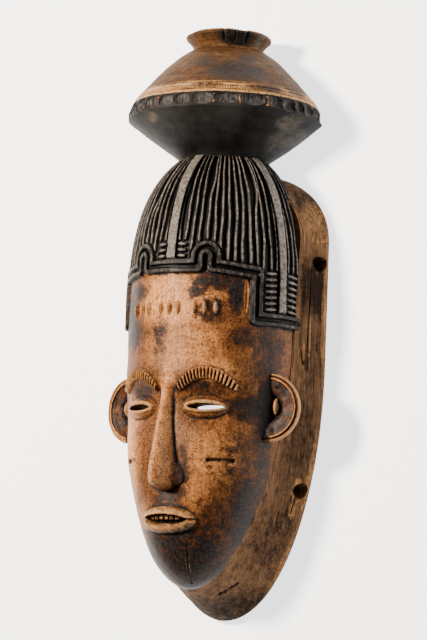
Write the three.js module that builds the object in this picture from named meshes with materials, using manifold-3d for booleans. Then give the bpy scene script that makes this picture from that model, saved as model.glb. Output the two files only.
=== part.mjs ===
// A face mask carved from one block of wood, lying on its open back.
//
// It has a long oval face under a cap of fluted hair, and a pot on the crown: two
// cones set rim to rim, with a flared neck. Behind the face a skirt spreads to the
// rim that rests on the ground. The inside is hollow, open at the back, and seen
// through two eye slits. Four holes in the skirt take the cords of a costume.
//
// Millimetres. +Y runs from chin to crown, +Z out of the face, and Z = 0 is the
// flat back. X = 0 is the plane of symmetry.

import * as THREE from 'three';
import { mergeVertices } from 'three/addons/utils/BufferGeometryUtils.js';
import Module from 'manifold-3d';

const wasm = await Module();
wasm.setup();

// The block
const TOP_Y = 215;                  // lip of the pot
const BOTTOM_Y = -215;              // lowest point of the skirt
const AXIS_Z = 30;                  // pot and head are round about this upright line

// Head and jaw
const HEAD_R = 67.2;                // surface of the hair at the temples
const DOME_Y = 5;                   // above this the head closes as a dome
const DOME_H = 127;
const JAW_Y = -10;                  // below this the head narrows as an oval
const CHIN_Y = -196;
const JAW_H = JAW_Y - CHIN_Y;
const CHIN_FORWARD = 23;            // the jaw's edge comes this far forward at the chin
const FACE_FLATTEN = 12;
const SKIN_IN = 2.2;                // the skin lies this far under the hair's surface

// Skirt and rim
const RIM_W = 76.8;
const RIM_UPPER = { y: 58, h: 56, power: 2.3 };
const RIM_LOWER = { y: -30, h: -30 - BOTTOM_Y, power: 2 };
const RIM_Z = 6.5;                  // the skirt is widest this far above the back
const RIM_ROUND = 2.6;
const SHOULDER_Z = 28;              // front of the skirt behind the hair
const SHOULDER_IN = 8.6;

// Hollow behind the face
const HOLLOW = { w: 66, r: 53, top: 99, bottom: -200, depth: 83 };

// Pot on the crown, radius and height of each turn of its profile
const FOOT = { r: 32.4, y: 119 };
const BELLY = { r: 71.6, y: 151.5, band: 4 };
const NECK = { r: 25.4, y: 203.4 };
const LIP = { r: 31.6, y: 210.5 };
const MOUTH = { r: 25.5, deep: 9 };
const GOUGE = { wide: 6.6, tall: 4.8, deep: 4.2, pitch: 12, reach: 108 };

// Hair
const FLUTE_DEEP = 2.4;
const FLUTES = { front: 10, temple: 5, back: 4 };
const PLAIT = { at: 75.5, wide: 7.4, sink: 4.5, clear: 2.5 };
const HAIR_END = 99;                // degrees from the middle
const FLOOR = 1.6;                  // the border and the rungs lie on a floor this deep
const BORDER = { tall: 9.8, ridge: 3.4, proud: 2.3, end: 91 };
const HAIRLINE = { middle: 30.9, side: 23.5, low: -7.9, flatTo: 27, stepFrom: 51.5, stepTo: 52.3 };
const ARCH = { at: 23, r: 6.4, y: 41 };
const RUNGS = { pitch: 4.3, wide: 9.4, proud: 2, middleRows: 3, sideRows: 7 };

// Face, on three equal thirds from hairline to chin
const HAIRLINE_Y = 30;
const THIRD = (HAIRLINE_Y - CHIN_Y) / 3;
const BROW_Y = HAIRLINE_Y - THIRD;
const NOSE_Y = BROW_Y - THIRD;
const MOUTH_Y = NOSE_Y - THIRD / 3;
const EYE = { x: 28, y: BROW_Y - 21, w: 16.5, h: 8.5, proud: 6.5, slitW: 12, slitH: 2.2 };
const BROW = { from: 9, to: 48, drop: 10, rise: 13, wide: 9, proud: 2.8, cut: 1.3, ribs: 11 };
const NOSE = { top: BROW_Y - 6, w: 13.5, tip: 20 };
const LIPS = { w: 22.5, proud: 7.5, teeth: 6, toothPitch: 3.9 };
const MARKS = { y: 4, at: [-27, 0, 27], pitch: 7.2, w: 2, h: 5.4, proud: 1.8 };
const CHEEK_CUT = { x: 38, y: -104, w: 8, h: 1.2, deep: 2 };
const EAR = { x: 59, y: BROW_Y - 19, z: 54, r: 24.5, thick: 9, turn: 0.25 };
const CORD_HOLES = { r: 5.6, z: 12, heights: [44, -120.5], reach: 50 };

// Soft hills and hollows of the face: middle, half width and height, how far it stands out
const HILLS = [
  { x: 24, y: BROW_Y + 3, w: 26, h: 12, proud: 1.5 },
  { x: EYE.x - 2, y: EYE.y + 3, w: 19, h: 15, proud: -5 },
  { x: 34, y: NOSE_Y + 16, w: 20, h: 24, proud: 2.5 },
  { x: 0, y: MOUTH_Y, w: 25, h: 19, proud: 3.5 },
  { x: 0, y: CHIN_Y + 24, w: 20, h: 14, proud: 3 },
];

const { degToRad, clamp, lerp } = THREE.MathUtils;
const { sin, cos, sqrt, abs, sign, hypot, PI } = Math;

// Solids

// A closed geometry as a solid with its faces pointing out.
function solid(geometry) {
  const bare = geometry.index ? geometry.toNonIndexed() : geometry.clone();
  bare.deleteAttribute('normal');
  bare.deleteAttribute('uv');
  const merged = mergeVertices(bare, 1e-4);
  const corners = merged.index.array;
  const kept = [];
  for (let i = 0; i < corners.length; i += 3) {
    const [a, b, c] = corners.subarray(i, i + 3);
    if (a !== b && b !== c && c !== a) kept.push([a, b, c]);
  }
  const vertProperties = merged.attributes.position.array;
  const build = (triangles) => new wasm.Manifold(new wasm.Mesh({
    numProp: 3,
    vertProperties,
    triVerts: new Uint32Array(triangles.flat()),
  }));
  const made = build(kept);
  return made.volume() > 0 ? made : build(kept.map(([a, b, c]) => [a, c, b]));
}

function joined(solids) {
  return solids.reduce((sum, part) => sum.add(part));
}

// Moves every vertex of a geometry to the place that fn gives for it.
function reshape(geometry, fn) {
  const spots = geometry.attributes.position;
  const p = new THREE.Vector3();
  for (let i = 0; i < spots.count; i++) {
    p.fromBufferAttribute(spots, i);
    const q = fn(p);
    spots.setXYZ(i, q.x, q.y, q.z);
  }
  return geometry;
}

// A closed solid through rings of points that all go the same way round.
function loft(rings) {
  const columns = rings[0].length;
  const rows = rings.length - 1;
  const middles = rings.map((ring) => ring
    .reduce((sum, point) => sum.add(point), new THREE.Vector3())
    .divideScalar(columns));
  const drum = new THREE.CylinderGeometry(1, 1, 1, columns, rows);
  return solid(reshape(drum, (p) => {
    const row = Math.round((p.y + 0.5) * rows);
    if (hypot(p.x, p.z) < 0.5) return middles[row];
    const column = Math.round(Math.atan2(p.x, p.z) * columns / (2 * PI));
    return rings[row][(column + columns) % columns];
  }));
}

// The form of the head

// Half width of the head at a height.
function headWidth(y) {
  if (y > DOME_Y) return HEAD_R * sqrt(Math.max(0, 1 - ((y - DOME_Y) / DOME_H) ** 2.8));
  if (y < JAW_Y) return HEAD_R * sqrt(Math.max(0, 1 - ((JAW_Y - y) / JAW_H) ** 2));
  return HEAD_R;
}

// Height above the back of the edge between face and skirt.
function edgeZ(y) {
  return AXIS_Z + CHIN_FORWARD * clamp((JAW_Y - y) / JAW_H, 0, 1) ** 1.5;
}

// How far the middle of the front stands out from that edge.
function headDepth(y) {
  const t = (JAW_Y - y) / JAW_H;
  if (t <= 0) return headWidth(y);
  return (HEAD_R - FACE_FLATTEN * t) * sqrt(Math.max(0, 1 - t ** 2.6));
}

function onHead(angle, y) {
  return new THREE.Vector3(
    headWidth(y) * sin(angle), y, edgeZ(y) + headDepth(y) * cos(angle));
}

// A point of the head at an angle from the middle and a height, lifted off its surface.
function front(angle, y, lift = 0) {
  const h = 0.01;
  const across = onHead(angle + h, y).sub(onHead(angle - h, y));
  const up = onHead(angle, y + h).sub(onHead(angle, y - h));
  return onHead(angle, y).addScaledVector(across.cross(up).normalize(), lift);
}

// Places on the head for a flat drawing: wrapped round it from a middle line, with x
// measured along the curve, or pressed onto the face as seen from in front.
function wrapped(degrees, lift) {
  return (x, y, z) => front(degToRad(degrees) + x / headWidth(y), y, z + lift);
}

function pressed(x, y, z) {
  const angle = Math.asin(clamp(x / headWidth(y), -1, 1));
  return front(angle, y, z - SKIN_IN + faceForm(x, y));
}

function press(geometry) {
  return solid(reshape(geometry, (p) => pressed(p.x, p.y, p.z)));
}

// How far the hills and hollows of the face stand out from the plain oval.
function faceForm(x, y) {
  return HILLS.reduce((sum, hill) => sum + hill.proud
    * Math.exp(-(((abs(x) - hill.x) / hill.w) ** 2) - ((y - hill.y) / hill.h) ** 2), 0);
}

function faceCore() {
  const columns = 24;
  const ring = (y) => {
    const points = [];
    for (let i = 0; i <= columns; i++) {
      const angle = PI * (i / columns - 0.5);
      points.push(front(angle, y, faceForm(headWidth(y) * sin(angle), y) - SKIN_IN));
    }
    const inside = Math.max(headWidth(y) - 6, 1);
    points.push(new THREE.Vector3(inside, y, edgeZ(y) - 9));
    points.push(new THREE.Vector3(-inside, y, edgeZ(y) - 9));
    return points;
  };
  const jawRows = 20;
  const lowest = degToRad(87.5);
  const heights = [];
  for (let i = 0; i <= jawRows; i++) {
    heights.push(JAW_Y - JAW_H * sin(lowest * (1 - i / jawRows)));
  }
  const forehead = [3, 16, 29, 50];
  return loft([...heights, ...forehead].map(ring));
}

// The skirt

// A closed outline: a rounded top, straight sides and a rounded bottom.
function outline(w, top, bottom, z, steps = 18) {
  const points = [];
  for (const end of [top, bottom]) {
    for (let i = 0; i <= steps; i++) {
      const turn = PI * i / steps + (end === bottom ? PI : 0);
      const [c, s] = [cos(turn), sin(turn)];
      const x = w * sign(c) * abs(c) ** (2 / end.power);
      const y = end.y + end.h * sign(s) * abs(s) ** (2 / end.power);
      points.push(new THREE.Vector3(x, y, z(y)));
    }
  }
  return points;
}

function rim(inset, height) {
  return outline(
    RIM_W - inset,
    { ...RIM_UPPER, h: RIM_UPPER.h - inset },
    { ...RIM_LOWER, h: RIM_LOWER.h - inset },
    () => height);
}

function skirt() {
  const shoulder = outline(
    HEAD_R - 0.6,
    { ...RIM_UPPER, h: RIM_UPPER.h - SHOULDER_IN },
    { y: JAW_Y, h: JAW_H - 1, power: 2 },
    (y) => (y > JAW_Y ? SHOULDER_Z : SHOULDER_Z + edgeZ(y) - AXIS_Z));
  return loft([rim(RIM_ROUND, -1), rim(RIM_ROUND, 0), rim(0, RIM_Z), shoulder]);
}

function hollow() {
  const ring = (z) => {
    const t = Math.max(z, 0) / HOLLOW.depth;
    const w = z < AXIS_Z
      ? lerp(HOLLOW.w, HOLLOW.r, Math.max(z, 0) / AXIS_Z)
      : sqrt(Math.max(HOLLOW.r ** 2 - (z - AXIS_Z) ** 2, 9));
    const top = 1 + (HOLLOW.top - 1) * sqrt(Math.max(1 - t ** 2.5, 0));
    const bottom = 1 - (HOLLOW.bottom + 1) * sqrt(Math.max(1 - t ** 3.6, 0));
    return outline(w, { y: 0, h: top, power: 2.3 }, { y: 0, h: bottom, power: 2 }, () => z, 8);
  };
  return loft([-2, 18, 36, 52, 66, 77, HOLLOW.depth].map(ring));
}

// The pot

function pot() {
  const profile = [
    [0, FOOT.y - 6],
    [FOOT.r - 1, FOOT.y - 6],
    [FOOT.r, FOOT.y],
    [BELLY.r, BELLY.y - BELLY.band],
    [BELLY.r, BELLY.y + BELLY.band],
    [BELLY.r - 3.6, BELLY.y + 2 * BELLY.band],
    [53.3, 179.4],
    [38.4, 194.7],
    [NECK.r, NECK.y],
    [LIP.r, LIP.y],
    [LIP.r - 1.6, TOP_Y],
    [MOUTH.r, TOP_Y],
    [MOUTH.r - 5, TOP_Y - MOUTH.deep],
    [0, TOP_Y - MOUTH.deep],
  ];
  const turned = new THREE.LatheGeometry(profile.map(([r, y]) => new THREE.Vector2(r, y)), 36);
  const bites = [];
  for (let at = -GOUGE.reach; at <= GOUGE.reach; at += GOUGE.pitch) {
    const bite = new THREE.SphereGeometry(1, 6, 3)
      .rotateX(PI / 2)
      .scale(GOUGE.wide, GOUGE.tall, GOUGE.deep)
      .translate(0, BELLY.y, BELLY.r + 0.6)
      .rotateY(degToRad(at))
      .translate(0, 0, AXIS_Z);
    bites.push(solid(bite));
  }
  return solid(turned.translate(0, 0, AXIS_Z)).subtract(joined(bites));
}

// The hair

// Lower edge of the border at an angle from the middle.
function hairline(degrees) {
  const a = abs(degrees);
  if (a >= HAIRLINE.stepTo) return HAIRLINE.low;
  const slope = clamp((a - HAIRLINE.flatTo) / (HAIRLINE.stepFrom - HAIRLINE.flatTo), 0, 1);
  return lerp(HAIRLINE.middle, HAIRLINE.side, slope);
}

// The height where the flutes begin: over the arches, the border or the rungs.
function fluteStart(degrees) {
  const a = abs(degrees);
  if (a < ARCH.at + 8.5) return ARCH.y + ARCH.r + 4.4;
  if (a < HAIRLINE.stepTo) return hairline(a) + BORDER.tall + 0.6;
  return HAIRLINE.side + BORDER.tall + 4;
}

// Angles and depths of the hair's surface round one half of the head: a groove, a
// crest, a groove and so on, in three fields between the plaits.
function hairColumns() {
  const columns = [];
  const field = (from, to, ridges) => {
    const pitch = (to - from) / ridges;
    for (let i = 0; i < ridges; i++) {
      columns.push({ at: from + pitch * i, deep: FLUTE_DEEP });
      columns.push({ at: from + pitch * (i + 0.5), deep: 0 });
    }
    columns.push({ at: to, deep: FLUTE_DEEP });
  };
  field(PLAIT.clear, HAIRLINE.stepFrom, FLUTES.front);
  field(HAIRLINE.stepTo, PLAIT.at - PLAIT.clear, FLUTES.temple);
  field(PLAIT.at + PLAIT.clear, HAIR_END - 0.5, FLUTES.back);
  columns.push({ at: HAIR_END, deep: SKIN_IN });
  return columns;
}

function hair() {
  const half = hairColumns();
  const all = [...half.map((c) => ({ ...c, at: -c.at })).reverse(), ...half];
  const crown = FOOT.y + 2;
  const rows = 7;
  const ring = (row) => {
    const points = all.map(({ at, deep }, i) => {
      const start = fluteStart(at);
      const rise = (row - 2) / (rows - 2);
      const y = [hairline(at) + BORDER.tall - 2, start, start + 1.5][row]
        ?? lerp(start + 1.5, crown, sin(rise * PI / 2) ** 0.85);
      const wave = row > 2 && row < rows ? 0.25 * sin(0.11 * y + 1.7 * i) : 0;
      return front(degToRad(at + wave), y, -(row < 2 ? FLOOR : deep));
    });
    const y = lerp(-20, crown, row / rows);
    for (const degrees of [125, 160, 200, 235]) {
      const r = Math.max(headWidth(y) - SKIN_IN, 1);
      const angle = degToRad(degrees);
      points.push(new THREE.Vector3(r * sin(angle), y, AXIS_Z + r * cos(angle)));
    }
    return points;
  };
  return loft(Array.from({ length: rows + 1 }, (_, row) => ring(row)));
}

// The point at a distance to the left of point k of a line.
function beside(points, k, distance) {
  const last = points.length - 1;
  const here = points[k];
  const into = k > 0 ? here.clone().sub(points[k - 1]) : points[1].clone().sub(here);
  const out = k < last ? points[k + 1].clone().sub(here) : into.clone();
  const along = into.normalize().clone().add(out.normalize()).normalize();
  const reach = distance / Math.max(along.dot(into), 0.6);
  return new THREE.Vector2(here.x - along.y * reach, here.y + along.x * reach);
}

// A strip along a line of points. sectionAt(k) lists its corners there, each as a
// distance to the left and a height, and place puts a flat point on the surface.
function strip(points, sectionAt, place) {
  return loft(points.map((_, k) => sectionAt(k).map(([across, z]) => {
    const p = beside(points, k, across);
    return place(p.x, p.y, z);
  })));
}

function bar(points, widthAt, heightAt, sink, place) {
  return strip(points, (k) => {
    const half = widthAt(k) / 2;
    return [[-half, -sink], [half, -sink], [half, heightAt(k)], [-half, heightAt(k)]];
  }, place);
}

// The line of the carved border on one side, from the middle of the brow to the ear.
function borderLine() {
  const flat = (degrees) => degToRad(degrees) * HEAD_R;
  const yAt = (degrees) => hairline(degrees) + BORDER.tall / 2;
  const archX = flat(ARCH.at);
  const [nearX, farX] = [archX - ARCH.r, archX + ARCH.r];
  const stepX = flat(HAIRLINE.stepTo) + BORDER.tall / 2;
  const points = [];
  const straight = (x0, y0, x1, y1) => {
    const steps = Math.max(1, Math.round(hypot(x1 - x0, y1 - y0) / 12));
    for (let i = 0; i < steps; i++) {
      points.push(new THREE.Vector2(lerp(x0, x1, i / steps), lerp(y0, y1, i / steps)));
    }
  };
  straight(0, yAt(0), nearX, yAt(0));
  straight(nearX, yAt(0), nearX, ARCH.y);
  for (let i = 0; i <= 6; i++) {
    const turn = PI - PI * i / 6;
    points.push(new THREE.Vector2(archX + ARCH.r * cos(turn), ARCH.y + ARCH.r * sin(turn)));
  }
  straight(farX, yAt(HAIRLINE.flatTo), stepX, yAt(HAIRLINE.stepFrom));
  straight(stepX, yAt(HAIRLINE.stepFrom), stepX, yAt(BORDER.end));
  straight(stepX, yAt(BORDER.end), flat(BORDER.end), yAt(BORDER.end));
  points.push(new THREE.Vector2(flat(BORDER.end), yAt(BORDER.end)));
  return points;
}

// Two raised ridges with a groove between them.
function border() {
  const right = borderLine();
  const left = right.slice(1).reverse().map((p) => new THREE.Vector2(-p.x, p.y));
  const edge = BORDER.tall / 2;
  const inner = edge - BORDER.ridge;
  const section = [
    [-edge, -3], [edge, -3], [edge, BORDER.proud], [inner, BORDER.proud], [0, 0],
    [-inner, BORDER.proud], [-edge, BORDER.proud],
  ];
  return strip([...left, ...right], () => section, wrapped(0, -FLOOR));
}

// The three flat plaits that run up to the foot of the pot.
function plaits() {
  const steps = 8;
  return joined([-PLAIT.at, 0, PLAIT.at].map((degrees) => {
    const from = hairline(degrees) + BORDER.tall - 1;
    const points = Array.from({ length: steps + 1 }, (_, i) => (
      new THREE.Vector2(0, lerp(from, FOOT.y + 1, sin(PI / 2 * i / steps) ** 0.9))));
    return bar(points, () => PLAIT.wide, () => 0.3, PLAIT.sink, wrapped(degrees, 0));
  }));
}

// Panels of short rungs on both sides of each plait, cut across like a ladder.
function rungs() {
  const panel = (degrees, rows, middle, wide) => {
    const from = hairline(degrees) + BORDER.tall;
    const points = [];
    for (let k = 0; k <= 2 * rows; k++) {
      points.push(new THREE.Vector2(middle, from + RUNGS.pitch * k / 2));
    }
    const heightAt = (k) => (k % 2 ? RUNGS.proud : 0.15);
    return bar(points, () => wide, heightAt, 4, wrapped(degrees, -FLOOR));
  };
  const middle = PLAIT.wide / 2 + 0.7 + RUNGS.wide / 2;
  const solids = [];
  for (const way of [-1, 1]) {
    solids.push(panel(way * PLAIT.at, RUNGS.sideRows, middle, RUNGS.wide));
    solids.push(panel(way * PLAIT.at, RUNGS.sideRows, -middle, RUNGS.wide));
    solids.push(panel(0, RUNGS.middleRows, way * (middle - 1), RUNGS.wide - 2));
  }
  return joined(solids);
}

// The face

// A lens-shaped lump lying in the surface.
function grain(x, y, halfWide, halfTall, proud) {
  return press(new THREE.SphereGeometry(1, 8, 4)
    .rotateX(PI / 2)
    .scale(halfWide, halfTall, proud)
    .translate(x, y, 0));
}

function foreheadMarks() {
  const solids = [];
  for (const middle of MARKS.at) {
    for (const k of [-1, 0, 1]) {
      const mark = new THREE.CylinderGeometry(0.3, 1.5, MARKS.proud * 2, 6)
        .rotateX(PI / 2)
        .scale(MARKS.w, MARKS.h, 1)
        .translate(middle + k * MARKS.pitch, MARKS.y, 0);
      solids.push(press(mark));
    }
  }
  return joined(solids);
}

// Arched bars cut across by a row of notches.
function brows() {
  return joined([-1, 1].map((way) => {
    const cuts = 2 * BROW.ribs;
    const points = [];
    for (let k = 0; k <= cuts; k++) {
      points.push(new THREE.Vector2(
        way * lerp(BROW.from, BROW.to, k / cuts),
        BROW_Y - BROW.drop + BROW.rise * sin(PI * lerp(0.06, 0.92, k / cuts))));
    }
    const widthAt = (k) => BROW.wide * sqrt(sin(PI * clamp(k / cuts, 0.04, 0.96)));
    const heightAt = (k) => (k % 2 ? BROW.proud : BROW.proud - BROW.cut);
    return bar(points, widthAt, heightAt, 3, pressed);
  }));
}

function eyes() {
  return joined([-1, 1].map((way) => press(
    new THREE.SphereGeometry(1, 12, 6)
      .rotateX(PI / 2)
      .scale(EYE.w, EYE.h, EYE.proud)
      .translate(way * EYE.x, EYE.y, -1))));
}

// A lens-shaped cutter that goes straight back through the face.
function slit(x, y, halfWide, halfTall, from, to) {
  const lens = new THREE.CylinderGeometry(1, 1, 1, 12).rotateX(PI / 2);
  return solid(reshape(lens, (p) => new THREE.Vector3(
    x + halfWide * p.x,
    y + halfTall * sign(p.y) * abs(p.y) ** 1.3,
    lerp(from, to, p.z + 0.5))));
}

function eyeSlits() {
  return joined([-1, 1].map((way) => (
    slit(way * EYE.x, EYE.y, EYE.slitW, EYE.slitH, AXIS_Z, 2 * HEAD_R))));
}

// A long wedge with a rounded crest, from the brow to the wings.
function nose() {
  const section = [
    [-1, 0], [-0.8, 0.35], [-0.32, 0.92], [0, 1], [0.32, 0.92], [0.8, 0.35], [1, 0],
  ];
  // Each row: how far down the nose, its half width, and how far it stands out.
  const rows = [
    [1.02, 7.5, 3], [1, 8.5, 11], [0.93, 9.5, NOSE.tip - 1], [0.86, 9.5, NOSE.tip],
    [0.7, 8.2, 16], [0.45, 6.4, 11.4], [0.2, 5.6, 7], [0, 6.4, 2.5], [-0.08, 7, -1],
  ];
  const root = 4;
  const ridge = loft(rows.map(([t, halfWide, proud]) => {
    const y = lerp(NOSE.top, NOSE_Y, t);
    const skin = front(0, Math.max(y, NOSE_Y + 6)).z - SKIN_IN;
    return section.map(([u, v]) => (
      new THREE.Vector3(u * halfWide, y, skin + (v > 0 ? v * proud : -root))));
  }));
  const wings = [-1, 1].map((way) => grain(way * (NOSE.w - 4.8), NOSE_Y + 6, 5, 7, 10));
  return joined([ridge, ...wings]);
}

function lips() {
  const upper = grain(0, MOUTH_Y + 4.6, LIPS.w, 5.2, LIPS.proud);
  const lower = grain(0, MOUTH_Y - 5, LIPS.w - 4, 5.8, LIPS.proud);
  return upper.add(lower);
}

function mouthGap() {
  const surface = front(0, MOUTH_Y).z;
  return slit(0, MOUTH_Y + 0.4, LIPS.w - 7, 3.6, surface - 2, surface + 30);
}

function teeth() {
  const surface = front(0, MOUTH_Y).z;
  const solids = [];
  for (let i = 0; i < LIPS.teeth; i++) {
    const x = (i - (LIPS.teeth - 1) / 2) * LIPS.toothPitch;
    solids.push(solid(new THREE.BoxGeometry(LIPS.toothPitch - 0.7, 6, 6)
      .translate(x, MOUTH_Y + 2.6, surface + 0.2)));
  }
  return joined(solids);
}

// A round flap with a raised rim and a dished face, half sunk in the head.
function ear(way) {
  const profile = [
    [0, -EAR.thick], [EAR.r - 3, -EAR.thick], [EAR.r, -EAR.thick * 0.45],
    [EAR.r - 1, 0], [EAR.r - 4.5, 0], [EAR.r - 7.5, -4], [0, -4.6],
  ];
  return solid(new THREE.LatheGeometry(profile.map(([r, z]) => new THREE.Vector2(r, z)), 22)
    .rotateX(PI / 2)
    .rotateY(way * EAR.turn)
    .translate(way * EAR.x, EAR.y, EAR.z));
}

// Cutters

function cordHoles() {
  const solids = [];
  for (const y of CORD_HOLES.heights) {
    for (const way of [-1, 1]) {
      const drill = new THREE.CylinderGeometry(CORD_HOLES.r, CORD_HOLES.r, RIM_W, 12)
        .rotateZ(PI / 2)
        .translate(way * (CORD_HOLES.reach + RIM_W) / 1.5, y, CORD_HOLES.z);
      solids.push(solid(drill));
    }
  }
  return joined(solids);
}

function cheekCuts() {
  return joined([-1, 1].map((way) => (
    grain(way * CHEEK_CUT.x, CHEEK_CUT.y, CHEEK_CUT.w, CHEEK_CUT.h, CHEEK_CUT.deep))));
}

function ground() {
  return solid(new THREE.BoxGeometry(4 * RIM_W, 3 * TOP_Y, 200).translate(0, 0, -100));
}

// The mask

function carve() {
  const block = joined([skirt(), faceCore(), hair(), pot()]);
  const carvedHair = joined([border(), plaits(), rungs()]);
  const features = joined([foreheadMarks(), brows(), eyes(), nose(), lips(), ear(-1), ear(1)]);
  const whole = joined([block, carvedHair, features]).subtract(mouthGap()).add(teeth());
  const cutters = [hollow(), eyeSlits(), cheekCuts(), cordHoles(), ground()];
  const cut = cutters.reduce((rest, cutter) => rest.subtract(cutter), whole);
  // Cutting can leave crumbs, so the one big body is kept.
  return cut.decompose().reduce((a, b) => (a.volume() > b.volume() ? a : b));
}

function mesh(name, made, material) {
  const got = made.getMesh();
  const geometry = new THREE.BufferGeometry();
  geometry.setAttribute('position', new THREE.BufferAttribute(got.vertProperties, 3));
  geometry.setIndex(new THREE.BufferAttribute(got.triVerts, 1));
  const piece = new THREE.Mesh(geometry, material);
  piece.name = name;
  return piece;
}

const wood = new THREE.MeshStandardMaterial({ color: 0x6f4526, roughness: 0.45, metalness: 0 });
const mask = new THREE.Group();
mask.add(mesh('carved_mask', carve(), wood));

export default mask;
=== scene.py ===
# A carved wooden face mask with a pot on its crown, lying on its open back.
#
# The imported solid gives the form. Here the same form is carved finer, as one closed
# mesh. The head is a sheet of points, each set in or out by the depth of the carving
# there, and the pot, skirt and ears are turned or drawn forms joined to it. Then the
# hollow, the eye slits and the cord holes are cut.
#
# Forms are worked out in millimetres, +Y from chin to crown and +Z out of the face,
# and set down in metres.

import itertools
import math
from functools import partial

import bmesh
import bpy
import numpy as np
from mathutils import Matrix, Vector


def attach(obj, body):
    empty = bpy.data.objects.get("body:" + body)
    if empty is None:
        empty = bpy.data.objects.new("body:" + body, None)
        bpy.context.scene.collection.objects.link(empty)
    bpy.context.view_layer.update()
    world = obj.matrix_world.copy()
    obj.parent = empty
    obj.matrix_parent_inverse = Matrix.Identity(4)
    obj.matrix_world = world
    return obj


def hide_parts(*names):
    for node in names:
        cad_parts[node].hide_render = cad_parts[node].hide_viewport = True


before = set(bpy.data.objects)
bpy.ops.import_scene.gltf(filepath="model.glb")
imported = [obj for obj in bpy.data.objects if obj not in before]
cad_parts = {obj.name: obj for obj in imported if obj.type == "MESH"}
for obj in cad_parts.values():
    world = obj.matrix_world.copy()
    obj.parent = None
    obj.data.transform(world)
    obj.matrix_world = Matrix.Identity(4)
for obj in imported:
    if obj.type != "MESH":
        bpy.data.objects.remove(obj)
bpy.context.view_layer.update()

MM = 0.001
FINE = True
MOST_TRIANGLES = 194000
EDGE_LENGTH = 1.3                     # of the mesh's triangles, on average
SHARP_TURN = 46                       # degrees, past which an edge is shaded sharp
FINE_ROUNDS = 6                       # of smoothing, to tell small edges and pits
BROAD_ROUNDS = 60                     # and to tell wide ones

# Camera: where it looks, its degrees away from straight above, and how far away it is
VIEW_AIM = (2.5, 2.0, 40.0)
VIEW_ACROSS = 32.62
VIEW_DOWN = -7.18
VIEW_ROLL = 2.22                     # about its own line of sight
VIEW_FAR = 1921.0
VIEW_LENS = 148.4

FLOOR_HALF = 6                        # metres
FLOOR_GLOW = 2.3
SKY_GLOW = 0.07

# The block, as in the part's source
TOP_Y = 215
AXIS_Z = 30
HEAD_R = 67.2
DOME_Y = 5
DOME_H = 127
JAW_Y = -10
CHIN_Y = -196
JAW_H = JAW_Y - CHIN_Y
CHIN_FORWARD = 23
FACE_FLATTEN = 12
SKIN_IN = 2.2
CROWN_Y = 121

RIM_W = 76.8
RIM_UPPER = (58, 56, 2.3)            # middle, height and roundness of the outline's end
RIM_LOWER = (-30, 185, 2)
RIM_Z = 6.5
RIM_ROUND = 2.6
SHOULDER_Z = 28
SHOULDER_IN = 8.6
HOLLOW = {"w": 66, "r": 53, "top": 99, "bottom": -200, "depth": 83}

# Pot: radius and height of each turn of its profile
POT_PROFILE = [
    (31.4, 113), (32.4, 119.6), (46.2, 130), (58.9, 139.1), (70.4, 147.4), (71.5, 149.5),
    (71.7, 152), (71.5, 154.4), (70.6, 156.4), (67.4, 163.4), (58.6, 173.4), (48.6, 184.4),
    (38.4, 194.4), (29.0, 201.2), (25.7, 203.6), (26.6, 206), (29.2, 209.2), (31.5, 211.6),
    (31.2, 213.8), (29.6, 214.9), (26.6, 214.4), (24.6, 212), (22.4, 208), (18, 206),
]
BELLY_R = 71.6
GOUGE = {"y": 154.0, "tall": 4.6, "deep": 3.2}
GOUGE_ENDS = [-23, -11.4, 0.1, 11.8, 25, 40.2, 56.9, 67.5, 77.4, 85.2, 94.9]      # degrees round
GOUGE_ENDS += [94.9 + 11.005 * n for n in range(1, 23)]
# How far the points between gouges are rubbed bare: degrees round, and the share there
CUSPS_WORN = ((-20, -14, 0, 34, 60, 66, 80), (0.5, 0.85, 0.6, 0.9, 0.9, 0.2, 0.4))
BAND_LOW = 161.6                      # lowest of three lines cut round the shoulder
BAND_STEP = 2.8
TICK_STEP = 1.9
NECK_R = 29
NECK_CRACKS = (26, 41, 58, 119)       # degrees round

# Heights on the pot between which a finish comes in, from where it starts to where it is whole
SOOT_BELOW = (159.7, 159.3)
WORN_EDGE_BELOW = (160.8, 160.3)
PALE_BAND_BELOW = (168.8, 167.8)
NECK_ABOVE = (200.4, 201.6)
NECK_BELOW = (205.0, 203.4)
LIP_ABOVE = (215.2, 216.0)

# Patches on the pot: degrees round and up, half sizes, strength
POT_DARK = [
    (45, 209, 36, 10, 1.1),
    (40, 178, 36, 13, 0.85),
    (52, 190, 16, 6, 0.8),
    (10, 186, 18, 9, 0.7),
    (20, 165, 14, 4, 0.55),
    (8, 162, 7, 2.5, 0.4),
    (34, 168, 9, 2, 0.45),
    (58, 165, 18, 4, 0.7),
    (84, 167, 15, 5, 0.6),
    (-8, 168, 18, 3, 0.45),
    (-40, 176, 16, 9, 0.45),
    (150, 185, 40, 16, 0.6),
    (-110, 178, 30, 14, 0.6),
]
POT_DUSTY = [
    (-22, 145, 9, 5, 1.0),
    (79, 143, 15, 7, 1.0),
    (86, 209, 15, 9, 0.9),
    (98, 134, 36, 13, 0.7),
    (60, 186, 8, 4, 0.7),
]

# Hair: three plaits, ridges between them, and a carved border below
RIDGE_PITCH = 4.7                    # degrees
FLUTE_DEEP = 2.5
PLAIT_AT = 75.5                      # degrees round to the outer plaits
PLAIT_WIDE = 7.4
FLOOR = 1.7                          # depth of the sunk ground in the border and the rungs
BORDER_HALF = 4.9
BORDER_MIDDLE_Y = 33.8
BORDER_STEP_Y = 30.2
BORDER_LOW_Y = -2.0
BORDER_STEP_X = 66.2
ARCH_X = 27
ARCH_R = 6.4
ARCH_Y = 41
RUNG_PITCH = 4.3
SLIVER = (58.4, 13)                  # a fresh chip below the border: across and up

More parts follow.
